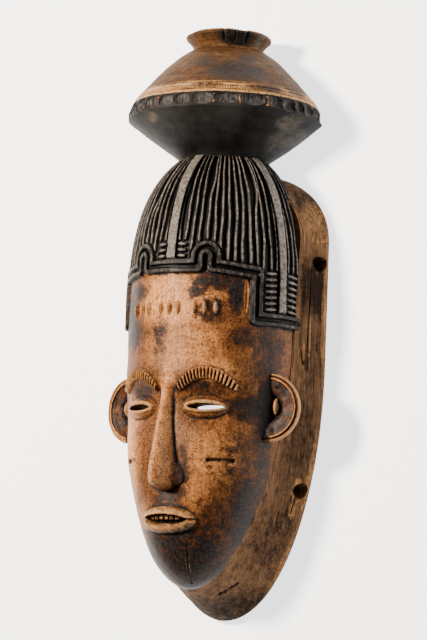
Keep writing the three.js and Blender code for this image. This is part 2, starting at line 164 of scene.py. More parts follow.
# Face, on three equal thirds from hairline to chin
HAIRLINE_Y = 30
THIRD = (HAIRLINE_Y - CHIN_Y) / 3
BROW_Y = HAIRLINE_Y - THIRD
NOSE_Y = BROW_Y - THIRD
MOUTH_Y = NOSE_Y - THIRD / 3
EYE_X = 28
EYE_Y = BROW_Y - 21
SLIT_HALF = (12, 2.2)
MARKS_Y = 4
MARKS_APART = 27                     # middles of the groups, and of the seeds in one group
SEEDS_APART = 7.2
BROW_FROM = 9                        # from the middle line
BROW_LONG = 39
BROW_RISE = 13
NOTCH_PITCH = 2.2                    # of the cuts across a brow
MOUTH_HALF = 15.8
TOOTH_WIDE = 3.9
TEETH_A_SIDE = 3
CHEEK_CUT = (38, -104)               # across and up
EAR_Y = BROW_Y - 19
EAR_AT = (59, 54)                    # out from the middle and forward
EAR_TURN = 0.25
EAR_PROFILE = [
    (12, -15.4), (18.5, -12), (21.9, -8.6), (24.2, -5), (24.6, -2.4), (24.0, -0.3), (23.4, 0),
    (22.7, -1.2), (22.0, -1.3), (21.3, 0), (20.7, -0.1), (19.8, -1.3), (15, -1.8), (11.6, -2.7),
    (9.8, -4.8), (8.4, -6.8), (6, -7.6), (3, -8)]
EAR_BUMP = (5.6, 1, 2.7, 6.4)        # out and up from the middle, half sizes
CORD_HOLE_YS = (44, -120.5)
CORD_HOLE_Z = 12
CORD_HOLE_R = 5.6

# Soft hills and hollows of the face: x, y, half width, half height, how far it stands out
HILLS = [
    (24, BROW_Y + 3, 26, 12, 1.5),
    (EYE_X - 2, EYE_Y + 3, 19, 15, -5),
    (34, NOSE_Y + 16, 20, 24, 2.5),
    (0, MOUTH_Y, 25, 19, 3.5),
    (0, CHIN_Y + 24, 20, 14, 3),
]

# Nose: share of the way down it, half width, and how far it stands out
NOSE_PROFILE = [
    (-0.16, 5, -2), (-0.08, 6, 0), (0, 6.2, 2.5), (0.2, 5.6, 7), (0.45, 6.4, 11.4),
    (0.7, 8.2, 16), (0.86, 9.3, 19.6), (0.95, 9.6, 19.9), (0.985, 9.2, 17), (1.02, 8, 4),
    (1.05, 6, -2)]

# A split in the chin, from the top down
CHIN_SPLIT = [(13.4, -163), (13.0, -168.3), (11.3, -177.4), (9.9, -186.1), (8.0, -191)]

# Cracks in the skirt: both ends, half width and depth
CRACKS = [
    ((68, -8, 28), (69, -30, 23), 1.0, 2.2),
    ((70.5, -14, 20), (70.8, -34, 19.6), 0.9, 1.8),
    ((73, 2, 12), (73.4, -20, 12), 0.9, 1.4),
    ((54.5, -137, 24.7), (52.4, -144, 24.8), 0.7, 1.4),
    ((58.5, -131, 19.2), (56, -140, 19.2), 0.7, 1.4),
    ((61.6, -126, 15), (58.5, -137, 15.3), 0.9, 1.8),
    ((14, -196.4, 37.1), (27.2, -187.6, 31.7), 1.0, 2.6),
    ((-71, 20, 18), (-70, -24, 20), 1.2, 2.2),
    ((-73, -60, 13), (-70, -104, 14), 1.1, 1.8),
    ((-66, -120, 18), (-58, -150, 20), 1.0, 1.8),
    ((40, 101, 14), (56, 88, 13), 1.0, 1.6),
]

# Pale worn places on the skirt: across, up and forward, half sizes, strength
SCARS = [
    (64, -115, 15, 3, 4, 5, 0.9),
    (59.5, -134, 14, 4, 9, 4, 1.0),
    (69.5, -22, 22.5, 3, 14, 1.5, 0.9),
    (71.5, -8, 17.6, 3, 17, 1.3, 0.8),
    (77, 10, 7, 4, 70, 3, 0.85),
    (66, 70, 14, 14, 30, 14, 0.6),
    (70, -112, 7, 12, 46, 3, 0.9),
    (50, -170, 7, 24, 36, 3, 0.75),
    (-76, -30, 7, 4, 60, 3, 0.8),
]

# Dark places on the skirt: across, up and forward, half sizes, strength
SKIRT_DARK = [
    (10, -206, 10, 60, 18, 40, 0.8),
    (72, 26, 14, 12, 26, 20, 1.15),
    (71, -30, 15, 6, 34, 14, 0.45),
    (66, -84, 18, 14, 44, 20, 0.6),
    (46, -156, 24, 26, 30, 20, 0.5),
    (60, -120, 24, 9, 30, 12, 0.4),
    (64, 92, 15, 16, 12, 20, 0.5),
    (-70, -40, 15, 14, 44, 20, 0.7),
    (-50, -150, 20, 30, 30, 20, 0.6),
]

# Dark patina on the face, and painted shade beside and under the nose, beside the ears and on the
# right cheek: across the curve and up, half sizes, strength
PATINA_AND_SHADE = [
    (36, 24, 24, 9, 0.75),
    (51, 14, 7, 17, 1.0),
    (24, 18, 12, 9, 0.6),
    (33, 2, 15, 12, 0.6),
    (-60, 8, 13, 32, 0.9),
    (-42, -12, 18, 15, 0.85),
    (-36, 17, 17, 8, 0.68),
    (-8, -17, 9, 19, 0.5),
    (80, -26, 18, 28, 0.62),
    (58, -16, 14, 10, 0.6),
    # These two rows are painted shade beside the right ear, where the ear shades the head
    (62, EYE_Y, 18, 12, 0.9),
    (79, EAR_Y - 2, 11, 32, 1.0),
    (-82, EAR_Y + 4, 14, 34, 0.75),
    # Painted shadow of the nose on its right, and painted shade under it
    (14, -112, 7, 22, 0.55),
    (0, NOSE_Y - 10, 16, 6, 0.5),
    (0, -188, 80, 26, 0.85),
    (8, -168, 62, 24, 0.8),
    (30, EYE_Y + 13, 24, 7, 0.5),
    (-30, EYE_Y + 12, 22, 8, 0.6),
    (-48, 6, 14, 14, 0.85),
    (62, -146, 18, 44, 0.85),
    (78, -108, 14, 60, 0.62),
    (-58, -150, 14, 46, 0.6),
    (40, -146, 26, 22, 0.5),
    # Right cheek: patina, and painted shade where the key light falls off
    (52, -108, 22, 34, 0.35),
    (-26, -56, 18, 9, 0.4),
    (30, -66, 24, 10, 0.3),
]

# Places rubbed light by hands and cloth, and painted highlight where the key light falls on the
# forehead, nose ridge and left cheek
RUBBED_AND_HIGHLIT = [
    (4, 10, 38, 24, 1.0),
    (10, -22, 34, 24, 0.5),
    (0, -74, 9, 60, 0.6),
    (-46, -100, 22, 46, 0.7),
    (38, -102, 24, 22, 0.45),
    (36, -40, 20, 12, 0.45),
    (24, -128, 14, 16, 0.4),
    (-30, -150, 16, 20, 0.4),
]

# Patches are whole out to the first share of their half sizes, and gone at the second
PATCH_WHOLE = 0.35
PATCH_GONE = 1.25

# Noise at the sizes wood shows: millimetres across and up the mask, detail and roughness.
# Fibres, bands and breaks run up the log, and turning lines round it. Pores and fibres are
# drawn coarser than the wood's own, to show at all.
NOISE = {
    "flakes": (5, 5, 6.0, 0.75),
    "pores": (0.7, 0.7, 2.0, 0.5),
    "specks": (2.0, 2.0, 4.0, 0.65),
    "blotches": (9, 9, 5.0, 0.62),
    "clouds": (34, 34, 3.0, 0.5),
    "fibres": (0.9, 17, 3.0, 0.6),
    "bands": (4, 60, 3.0, 0.5),
    "turning": (26, 1.3, 3.0, 0.5),
    "breaks": (1.6, 9, 3.0, 0.65),
    "blade_lines": (1.1, 30, 2.0, 0.5),
}

# What is kept on each point of the mesh for its finish
KEPT = (
    "hair_reach", "crest", "side", "proud", "swell", "across", "on_ear", "stained", "pale",
    "bare", "cusp", "scooped")

# Helpers for shapes


def smooth(low, high, value):
    """0 below low, 1 above high, and an even rise between them."""
    part = np.clip((value - low) / (high - low), 0, 1)
    return part * part * (3 - 2 * part)


def mix(a, b, part):
    return a + (b - a) * part


def soft_max(a, b, round_by):
    """The larger of two heights, with the valley between them rounded."""
    part = np.clip(0.5 + 0.5 * (a - b) / round_by, 0, 1)
    return mix(b, a, part) + round_by * part * (1 - part)


def mound(x, y, wide, tall, power=0.5):
    """A dome of height 1 over an ellipse with these half sizes."""
    return np.clip(1 - (x / wide) ** 2 - (y / tall) ** 2, 0, 1) ** power


def hump(away, wide):
    """A rounded bump of height 1 that fades out on both sides."""
    return np.exp(-(away / wide) ** 2)


def rumple(spots, size, seed=0):
    """Smooth random heights from -1 to 1 that change over the distance size.

    Each corner of a cell takes its height from the table, at a place that large factors scatter.
    """
    table = np.random.default_rng(100 + seed).uniform(-1, 1, 4096)
    cell = spots / np.asarray(size)
    base = np.floor(cell).astype(np.int64)
    part = smooth(0, 1, cell - base)
    total = 0
    for corner in itertools.product((0, 1), repeat=3):
        share = np.prod(np.where(corner, part, 1 - part), axis=-1)
        i, j, k = np.moveaxis(base + corner, -1, 0)
        total = total + share * table[(i * 73856093 ^ j * 19349663 ^ k * 83492791) % 4096]
    return total


def distance_to_line(line, x, y):
    """Distance of each flat point from a line of points."""
    nearest = np.full(x.shape, np.inf)
    for (x0, y0), (x1, y1) in zip(line, line[1:]):
        dx, dy = x1 - x0, y1 - y0
        part = np.clip(((x - x0) * dx + (y - y0) * dy) / (dx * dx + dy * dy), 0, 1)
        nearest = np.minimum(nearest, np.hypot(x - x0 - part * dx, y - y0 - part * dy))
    return nearest


def distance_to_segment(spots, start, end):
    start, end = np.array(start), np.array(end)
    run = end - start
    part = np.clip((spots - start) @ run / (run @ run), 0, 1)
    return np.linalg.norm(spots - start - part[:, None] * run, axis=1)


def rounded_line(points, steps):
    """A smooth line through a few points."""
    points = [points[0], *points, points[-1]]
    line = []
    for a, b, c, d in zip(points, points[1:], points[2:], points[3:]):
        a, b, c, d = (np.array(p, float) for p in (a, b, c, d))
        for t in np.arange(steps) / steps:
            line.append(0.5 * (2 * b + (c - a) * t + (2 * a - 5 * b + 4 * c - d) * t ** 2
                               + (3 * b - a - 3 * c + d) * t ** 3))
    line.append(np.array(points[-1], float))
    return np.array(line)


def run_along(x, y, weight=1):
    """Distance along a flat line of points to each of them, with each step weighed."""
    return np.concatenate([[0], np.cumsum(np.hypot(np.diff(x), np.diff(y)) * weight)])


def places(bm):
    return np.array([v.co[:] for v in bm.verts])


def move(bm, spots):
    for v, spot in zip(bm.verts, spots):
        v.co = spot


def drawn_up(bm, edges):
    """Extrudes the edges to the next level, 1 higher, and returns the new ones."""
    made = bmesh.ops.extrude_edge_only(bm, edges=edges)["geom"]
    verts = [g for g in made if isinstance(g, bmesh.types.BMVert)]
    bmesh.ops.translate(bm, vec=(0, 0, 1), verts=verts)
    return [g for g in made if isinstance(g, bmesh.types.BMEdge)]


def turned(points, centre, axis, steps):
    """A form made by turning a line of points all the way round an axis."""
    bm = bmesh.new()
    verts = [bm.verts.new(point) for point in points]
    edges = [bm.edges.new(pair) for pair in zip(verts, verts[1:])]
    bmesh.ops.spin(bm, geom=verts + edges, cent=centre, axis=axis,
                   angle=2 * math.pi, steps=steps, use_merge=True)
    bmesh.ops.remove_doubles(bm, verts=bm.verts, dist=1e-4)
    return bm


def turned_from_log(profile, steps):
    """Turns pairs of radius and height about the log's own axis, closed at both ends."""
    profile = [(0, profile[0][1]), *profile, (0, profile[-1][1])]
    points = [(r, y, AXIS_Z) for r, y in profile]
    return turned(points, (0, 0, AXIS_Z), (0, 1, 0), steps)


def in_scene(name, data):
    obj = bpy.data.objects.new(name, data)
    bpy.context.scene.collection.objects.link(obj)
    return obj


def finish_form(bm, name):
    """A closed form in millimetres becomes an object in metres."""
    bmesh.ops.recalc_face_normals(bm, faces=bm.faces)
    bmesh.ops.scale(bm, vec=(MM, MM, MM), verts=bm.verts)
    mesh = bpy.data.meshes.new(name)
    bm.to_mesh(mesh)
    bm.free()
    return in_scene(name, mesh)


# The form of the head


def down_jaw(y):
    """0 down to the top of the jaw, and 1 at the chin."""
    return np.clip((JAW_Y - y) / JAW_H, 0, 1)


def head_width(y):
    up = np.clip((y - DOME_Y) / DOME_H, 0, 1)
    return HEAD_R * np.sqrt(np.where(y > DOME_Y, 1 - up ** 2.8, 1 - down_jaw(y) ** 2))


def edge_z(y):
    return AXIS_Z + CHIN_FORWARD * down_jaw(y) ** 1.5


def head_depth(y):
    down = down_jaw(y)
    jaw = (HEAD_R - FACE_FLATTEN * down) * np.sqrt(1 - down ** 2.6)
    return np.where(y >= JAW_Y, head_width(y), jaw)


def on_head(angle, y):
    return np.stack([
        head_width(y) * np.sin(angle), y, edge_z(y) + head_depth(y) * np.cos(angle)], axis=-1)


def lifted(angle, y, lift):
    """Points of the head, lifted off its surface."""
    step = 0.01
    across = on_head(angle + step, y) - on_head(angle - step, y)
    up = on_head(angle, y + step) - on_head(angle, y - step)
    out = np.cross(across, up)
    out /= np.linalg.norm(out, axis=-1, keepdims=True)
    return on_head(angle, y) + out * lift[..., None]


def laid_flat(angle, y):
    """The head's surface opened out flat, as places for random heights."""
    return np.stack([angle * HEAD_R, y, 0 * y], axis=-1)


def face_form(x, y):
    side = np.abs(x)
    return sum(
        proud * hump(side - at_x, wide) * hump(y - at_y, tall)
        for at_x, at_y, wide, tall, proud in HILLS)


# The carved hair


def border_line():
    """Middle of the carved border on one side, laid out flat."""
    turns = np.linspace(math.pi, 0, 13)
    arch = [(ARCH_X + ARCH_R * math.cos(t), ARCH_Y + ARCH_R * math.sin(t)) for t in turns]
    return [
        (0, BORDER_MIDDLE_Y), (ARCH_X - ARCH_R, BORDER_MIDDLE_Y), *arch,
        (ARCH_X + ARCH_R, BORDER_MIDDLE_Y), (BORDER_STEP_X, BORDER_STEP_Y),
        (BORDER_STEP_X, BORDER_LOW_Y), (107, BORDER_LOW_Y)]


def above_border(x, y):
    """Whether a place is above the border's middle line, whose upright runs lean by a hair."""
    line = np.array(border_line())
    return y > np.interp(x, line[:, 0] + np.arange(len(line)) * 1e-4, line[:, 1])


def ridge_crests(degrees, y):
    """Height of the ridges of hair, 0 in a groove and 1 on a crest."""
    side = np.abs(degrees)
    per_degree = head_width(y) * math.pi / 180
    pick = np.random.default_rng(5)
    crests = np.zeros(y.shape)
    first = 2.6 + RIDGE_PITCH / 2
    last = PLAIT_AT - 2.7 - RIDGE_PITCH / 2
    middles = [*np.linspace(first, last, 15), *(PLAIT_AT + 5.1 + RIDGE_PITCH * np.arange(6))]
    for way in (-1, 1):
        for count, middle in enumerate(middles):
            a, b, c = pick.uniform(0, 6.3, 3)
            joins = count % 7 == 4 and middle < PLAIT_AT
            meet = pick.uniform(70, 90)
            drift = 0.34 * np.sin(y / 8.7 + a) + 0.3 * np.sin(y / 19 + b)
            drift = drift + 0.14 * np.sin(y / 3.9 + c)
            # A few ridges run into their neighbours towards the crown
            if joins:
                drift = drift + RIDGE_PITCH * 0.7 * smooth(meet, meet + 22, y)
            away = np.abs(degrees - way * middle - drift) * per_degree
            half = RIDGE_PITCH * per_degree / 2
            body = 1 - smooth(0.14, 0.7, away / half)
            crests = np.maximum(crests, np.where(side < PLAIT_AT + 40, body, 0))
    return crests


def rung_panels(from_plait, degrees, y):
    """Height of the short rungs beside the plaits, and where those panels lie."""
    side = np.abs(degrees)
    beside = np.abs(from_plait)
    middle_one = side < PLAIT_AT / 2
    bottom = np.where(middle_one, BORDER_MIDDLE_Y + BORDER_HALF, BORDER_LOW_Y + BORDER_HALF) + 0.4
    rows = np.where(middle_one, 3, 7)
    outer = np.where(middle_one, 12.3, np.where(side < PLAIT_AT, 17.2, 18.5))
    inner = PLAIT_WIDE / 2 + 0.5
    inside = (beside > inner) & (beside < outer) & (y < bottom + rows * RUNG_PITCH + 0.6)
    row = (y - bottom + 0.07 * (beside - 8)) / RUNG_PITCH
    off = np.abs(row - np.floor(row) - 0.5) * RUNG_PITCH
    middle = (outer + inner) / 2
    reach = (outer - inner) / 2
    along = np.clip(np.abs(beside - middle) / reach, 0, 1)
    wide = 2.0 - 0.675 * np.abs(np.sin(along * 2.6))
    rung = mound(off, 0, wide, 1, 0.6) * (1 - along ** 6)
    return inside, rung


def hair_relief(angle, y):
    """Lift of the hair's surface, and its crests: 0 in a groove and 1 on top."""
    degrees = np.degrees(angle)
    nearest = np.where(np.abs(degrees) < PLAIT_AT / 2, 0, np.sign(degrees) * PLAIT_AT)
    from_plait = np.radians(degrees - nearest) * head_width(y)
    spots = laid_flat(angle, y)
    crests = ridge_crests(degrees, y)
    crests = crests * (0.93 + 0.1 * rumple(spots, (2.5, 9, 9), 3))
    left_worn = smooth(-20, -60, degrees)
    lift = -FLUTE_DEEP * (1 - crests) * (1 - 0.35 * left_worn)
    inside, rung = rung_panels(from_plait, degrees, y)
    lift = np.where(inside, -FLOOR - 0.9 + 2.7 * rung, lift)
    crests = np.where(inside, rung, crests)
    wobble = 0.25 * rumple(spots, (30, 6, 6), 4)
    off = np.abs(from_plait) - PLAIT_WIDE / 2
    plait = 1 - smooth(-0.45, 0.4, off + wobble)
    moat = (1 - smooth(0.3, 1.6, off)) * (1 - plait)
    lift = mix(lift, -FLUTE_DEEP - 0.2, moat)
    lift = mix(lift, 0.3, plait)
    crests = np.maximum(crests * (1 - moat), plait)
    return lift, crests


# The face


def forehead_marks(x, y):
    """Three groups of three upright seeds, each in a shallow pit: their lift, and the seeds."""
    side = x - np.clip(np.round(x / MARKS_APART), -1, 1) * MARKS_APART
    seed_x = side - np.clip(np.round(side / SEEDS_APART), -1, 1) * SEEDS_APART
    up = y - MARKS_Y
    seed = np.clip(1 - (np.abs(seed_x) / 2.0) ** 1.5 - (np.abs(up) / 5.6) ** 2, 0, 1) ** 0.6
    pit = mound(seed_x, up, 3.5, 8.0, 1)
    return 2.7 * seed - 0.8 * np.minimum(pit * 1.8, 1) * (1 - seed), seed


def brows(x, y):
    """Arched bars cut across by fine notches."""
    part = (np.abs(x) - BROW_FROM) / BROW_LONG
    inside = np.clip(part, 0, 1)
    turn = math.pi * mix(0.06, 0.92, inside)
    middle = BROW_Y - 10 + BROW_RISE * np.sin(turn)
    slope = BROW_RISE * math.pi * 0.86 / BROW_LONG * np.cos(turn)
    away = (y - middle) / np.sqrt(1 + slope ** 2)
    ends = np.clip(1 - (np.abs(part - 0.5) / 0.53) ** 4, 0, 1)
    half = 4.3 * ends ** 0.5 + 0.01
    bar = np.clip(1 - np.abs(away / half) ** 4, 0, 1) ** 0.5 * (ends > 0)
    run = part * BROW_LONG + 0.35 * slope * away
    notch = smooth(0.15, 0.85, 0.5 + 0.5 * np.cos(2 * math.pi * run / NOTCH_PITCH))
    upper = smooth(2.9, 4.0, away)
    return bar * (2.9 - 2.1 * notch * (1 - 0.8 * upper) * smooth(0, 0.08, ends))


def eyes(x, y):
    """Swelling of the lids, with a raised edge round each slit: their lift, and the edge."""
    across = np.abs(x) - EYE_X
    off = y - EYE_Y
    ball = -1 + 6.5 * mound(across, off, 16.5, 8.5)
    open_half = SLIT_HALF[1] * mound(across, 0, SLIT_HALF[0], 1, 0.65)
    past = np.abs(off) - open_half
    ends = smooth(15.2, 10, np.abs(across))
    upper = smooth(-0.1, 0.4, past) * (1 - smooth(2.3, 3.0, past)) * (off > 0)
    lower = smooth(-0.1, 0.4, past) * (1 - smooth(1.5, 2.1, past)) * (off <= 0)
    crease = hump(past - 3.6, 0.7) * (off > 0)
    bag = hump(past - 2.9, 0.8) * (off <= 0)
    rims = ends * np.maximum(upper, lower)
    return ball + ends * (1.15 * upper + 0.8 * lower - 0.7 * crease - 0.45 * bag), rims


def nose(x, y):
    """A long wedge with a rounded crest, flat below, with a wing on each side."""
    down, half, proud = np.array(NOSE_PROFILE).T
    top = BROW_Y - 6
    part = (y - top) / (NOSE_Y - top)
    part = part - 0.05 * mound(x, 0, 9, 1, 1) * smooth(0.8, 1, part)
    halves = sum(np.interp(part + d, down, half) for d in (-0.06, -0.03, 0, 0.03, 0.06)) / 5
    heights = (np.interp(part - 0.008, down, proud) + np.interp(part + 0.008, down, proud)) / 2
    over = np.clip(np.abs(x) / halves, 0, 1)
    wedge = np.where(over < 1, heights * (1 - over ** 2.2), 0)
    lean = 0.35 * (y - NOSE_Y)
    wing = 9.6 * mound(np.abs(x) - 7.8 + lean * 0.5, y - NOSE_Y - 7, 8.2, 9.5, 0.8)
    body = soft_max(wedge, wing, 6) - 1.5 * (1 - smooth(0, 5, np.maximum(wedge, wing)))
    crease = hump(np.abs(x) - 7.2 - 0.5 * lean, 0.9)
    body = body - 0.5 * crease * mound(x, y - NOSE_Y - 8, 16, 7, 1) * (body > 3)
    return np.maximum(soft_max(body, np.zeros(x.shape), 1.2) - 0.3, 0)


def lips(x, y):
    """A raised oval band, fuller below, creased towards its corners."""
    up = y - MOUTH_Y - 0.4
    band = mound(x, up, 22, np.where(up > 0, 8.6, 10.2), 0.42)
    corner = smooth(13, 16, np.abs(x)) * smooth(1.5, 0.2, np.abs(up))
    dip = 0.9 * hump(x, 3.4) * smooth(5, 8, up)
    return (6.4 - dip) * band - 2.4 * corner


def mouth(x, y, lift):
    """Cuts the parted mouth into the lips, and stands a row of teeth in it."""
    half = 3.7 * mound(x, 0, MOUTH_HALF, 1, 0.6)
    gap = smooth(0.35, -0.35, np.abs(y - MOUTH_Y - 0.4) - half) * (np.abs(x) < MOUTH_HALF)
    tooth = x / TOOTH_WIDE - np.floor(x / TOOTH_WIDE) - 0.5
    edge = 0.5 * (2 * tooth) ** 2
    row = smooth(0.5, 0.36, np.abs(tooth)) * (np.abs(x) < TEETH_A_SIDE * TOOTH_WIDE)
    row = row * smooth(-0.9 + edge, -0.1 + edge, y - MOUTH_Y)
    inside = -3.0 + 5.0 * row
    return mix(lift, inside, gap)


def face_relief(x, y):
    lift = soft_max(np.zeros(x.shape), eyes(x, y)[0], 0.5) - 0.12
    lift = lift + forehead_marks(x, y)[0]
    lift = np.maximum(lift, brows(x, y))
    lift = np.maximum(lift, lips(x, y))
    lift = mouth(x, y, lift)
    cut = smooth(8.3, 7.6, np.abs(np.abs(x) - CHEEK_CUT[0]))
    cut = cut * smooth(1.7, 1.1, np.abs(y - CHEEK_CUT[1]))
    split = smooth(0.9, 0.2, distance_to_line(CHIN_SPLIT, x, y))
    return lift - 2.4 * cut - 0.9 * split


# The sheet of the head


def edge_angle(y):
    """How far round the head its sheet reaches: to the face's edge, and further for hair."""
    return np.radians(90 + 3 * smooth(-14, -8, y) + 11 * smooth(0, 100, y))


def rows_of_head(v):
    """Heights for rows spaced evenly along the middle line of the head."""
    y = CHIN_Y + JAW_H * (1 - np.cos(np.linspace(0.04, math.pi / 2, 900)))
    y = np.concatenate([y, np.linspace(JAW_Y, CROWN_Y, 900)[1:]])
    run = run_along(y, edge_z(y) + head_depth(y))
    return np.interp((v + 1) / 2, run / run[-1], y)


def zones(angle, y):
    """Distance from the border's middle line, and which points are hair."""
    spots = laid_flat(angle, y)
    x = np.abs(angle) * head_width(y) + 0.3 * rumple(spots, 7, 1)
    up = y + 0.35 * rumple(spots, 8, 2)
    return distance_to_line(border_line(), x, up), above_border(x, up)


def head_relief(angle, y):
    """Lift along the surface's normal, and push straight forward."""
    x = head_width(y) * np.sin(angle)
    from_border, hair = zones(angle, y)
    here = on_head(angle, y)
    tooled = 0.28 * rumple(here, 13, 6) + 0.1 * rumple(here, 4.5, 7)
    skin = -SKIN_IN + face_form(x, y) + face_relief(x, y) + tooled
    hair_lift, _ = hair_relief(angle, y)
    to_end = np.degrees(edge_angle(y) - np.abs(angle))
    hair_lift = mix(-2.7, hair_lift, smooth(0.3, 3.5, to_end))
    starts = smooth(BORDER_HALF + 0.2, BORDER_HALF + 1.6, from_border)
    hair_lift = mix(-FLUTE_DEEP, hair_lift, starts)
    side = np.where(hair, hair_lift, skin)
    groove = 1 - smooth(0.9, 1.7, from_border)
    bar = -FLOOR + 2.4 * (1 - groove) + 0.12 * rumple(laid_flat(angle, y), 5, 8)
    inside = 1 - smooth(BORDER_HALF - 0.6, BORDER_HALF + 0.2, from_border)
    lift = mix(side, bar, inside)
    flat_x = np.abs(angle) * head_width(y)
    slot = smooth(1.7, 1.0, np.abs(flat_x - ARCH_X)) * smooth(29.5, 32, y)
    lift = lift - 1.6 * slot * (y < ARCH_Y + 1) * (1 - inside)
    sliver = mound(flat_x - SLIVER[0], y - SLIVER[1], 1.9, 13, 1)
    lift = lift - 0.9 * np.minimum(2 * sliver, 1)
    return lift, np.where(hair, 0, nose(x, y))


def head():
    """The front of the head as a sheet, with a collar tucked in behind it and drawn to a point."""
    columns, rows = (330, 500) if FINE else (150, 230)
    bm = bmesh.new()
    bmesh.ops.create_grid(bm, x_segments=columns, y_segments=rows, size=1)
    collar, centre = 1, 2
    for _ in (collar, centre):
        drawn_up(bm, [e for e in bm.edges if e.is_boundary])
    flat = places(bm)
    y = rows_of_head(flat[:, 1])
    angle = flat[:, 0] * edge_angle(y)
    level = np.round(flat[:, 2])
    lift, push = head_relief(angle, y)
    spots = lifted(angle, y, np.where(level == 0, lift, -3))
    spots[:, 2] += push
    back = np.array([0, -40, 12.0])                  # the point that closes the sheet
    tucked = spots.copy()
    tucked[:, 0] *= 0.9
    tucked[:, 1] = mix(back[1], tucked[:, 1], 0.962)
    tucked[:, 2] = np.maximum(mix(edge_z(y), tucked[:, 2], 0.9) - 9, 1)
    spots = np.where((level == collar)[:, None], tucked, spots)
    spots = np.where((level == centre)[:, None], back, spots)
    move(bm, spots)
    bmesh.ops.remove_doubles(bm, verts=bm.verts, dist=1e-4)
    return finish_form(bm, "head")


def dome():
    """The round back of the head, just under the hair."""
    heights = np.linspace(30, CROWN_Y - 3, 24)
    profile = [(head_width(y) - 3.2, y) for y in heights]
    return finish_form(turned_from_log(profile, 120), "dome")


# The pot


def gouges(degrees, y):
    """Depth of the shallow cuts round the belly, 0 to 1, and where two of them meet."""
    ends = np.array(GOUGE_ENDS)
    turn = (degrees - ends[0]) % 360 + ends[0]
    after = np.clip(np.searchsorted(ends, turn, side="right"), 1, len(ends) - 1)
    before = after - 1
    half = np.radians(ends[after] - ends[before]) / 2 * BELLY_R
    x = np.radians(turn - (ends[after] + ends[before]) / 2) * BELLY_R
    pick = np.random.default_rng(9)
    up = y - GOUGE["y"] - pick.uniform(-0.5, 0.5, len(ends))[after]
    tall = GOUGE["tall"] * pick.uniform(0.9, 1.05, len(ends))[after]
    deep = np.clip(1 - np.abs(x / (half - 0.3)) ** 2.4 - (up / tall) ** 2, 0, 1) ** 0.65
    corner = 2.2 * np.abs(up / tall) ** 3
    cusp = smooth(1.4, 0.4, half - np.abs(x) - corner) * smooth(1.05, 0.85, np.abs(up / tall))
    return deep, cusp


def pot():
    """The turned pot with its gouge cuts, cut lines, chipped mouth and cracks."""
    r, y = rounded_line(POT_PROFILE, 12).T
    near_belly = (y > 145) & (y < 169)
    run = run_along(r, y, np.where(near_belly[1:], 2.2, 1))
    even = np.linspace(0, run[-1], 150 if FINE else 60)
    profile = list(zip(np.interp(even, run, r), np.interp(even, run, y)))
    bm = turned_from_log(profile, 360 if FINE else 180)
    spots = places(bm)
    x, y, z = spots[:, 0], spots[:, 1], spots[:, 2] - AXIS_Z
    r = np.hypot(x, z)
    degrees = np.degrees(np.arctan2(x, z))
    around = np.stack([x, y, z], axis=-1)
    outer = smooth(20, 24, r)
    cut = gouges(degrees, y)[0] * (r > 60)
    level = y + 0.6 * rumple(around, 18, 20)
    incised = sum(hump(level - BAND_LOW - BAND_STEP * n, 0.45) for n in range(3))
    tooled = 0.42 * rumple(around, (17, 9, 17), 21) + 0.16 * rumple(around, (6, 3, 6), 22)
    cracks = sum(
        smooth(1.6, 0.3, np.radians(np.abs(degrees - at)) * NECK_R) * smooth(205, 208, y)
        for at in NECK_CRACKS)
    collar = smooth(204, 212, y)
    wavy = 0.5 * rumple(around, (14, 60, 14), 23) * collar
    change = outer * (tooled + wavy) - GOUGE["deep"] * cut
    change = change - 0.55 * incised * (r > 55) - 1.2 * cracks * (r > 24)
    grown = np.maximum(r + change, 0) / np.maximum(r, 1e-6)
    chips = np.clip(rumple(around, (9, 60, 9), 24) - 0.1, 0, 1) * smooth(211, 215, y) * outer
    spots = np.stack([x * grown, y - 1.7 * chips, AXIS_Z + z * grown], axis=-1)
    move(bm, spots)
    return finish_form(bm, "pot")


# The skirt and the hollow


def outline(w, top, bottom, share):
    """Points at even shares of the way round an oval with a rounded top and bottom."""
    turn = np.linspace(0, 2 * math.pi, 3000)
    c, s = np.cos(turn), np.sin(turn)
    end_y, end_h, power = (np.where(s >= 0, a, b) for a, b in zip(top, bottom))
    x = w * np.sign(c) * np.abs(c) ** (2 / power)
    y = end_y + end_h * np.sign(s) * np.abs(s) ** (2 / power)
    run = run_along(x, y)
    return np.interp(share, run / run[-1], x), np.interp(share, run / run[-1], y)


def drawn(rings):
    """A closed form through rings of points, one circle extruded from ring to ring."""
    bm = bmesh.new()
    count = len(rings[0])
    bmesh.ops.create_circle(bm, cap_ends=False, segments=count, radius=1)
    edges = list(bm.edges)
    for _ in rings[1:]:
        edges = drawn_up(bm, edges)
    flat = places(bm)
    share = np.arctan2(flat[:, 1], flat[:, 0]) / (2 * math.pi) % 1
    index = np.round(share * count).astype(int) % count
    level = np.round(flat[:, 2]).astype(int)
    move(bm, np.array(rings)[level, index])
    ends = [e for e in bm.edges if e.is_boundary]
    bmesh.ops.holes_fill(bm, edges=ends, sides=0)
    caps = [f for f in bm.faces if len(f.verts) > 4]
    bmesh.ops.poke(bm, faces=caps)
    return bm


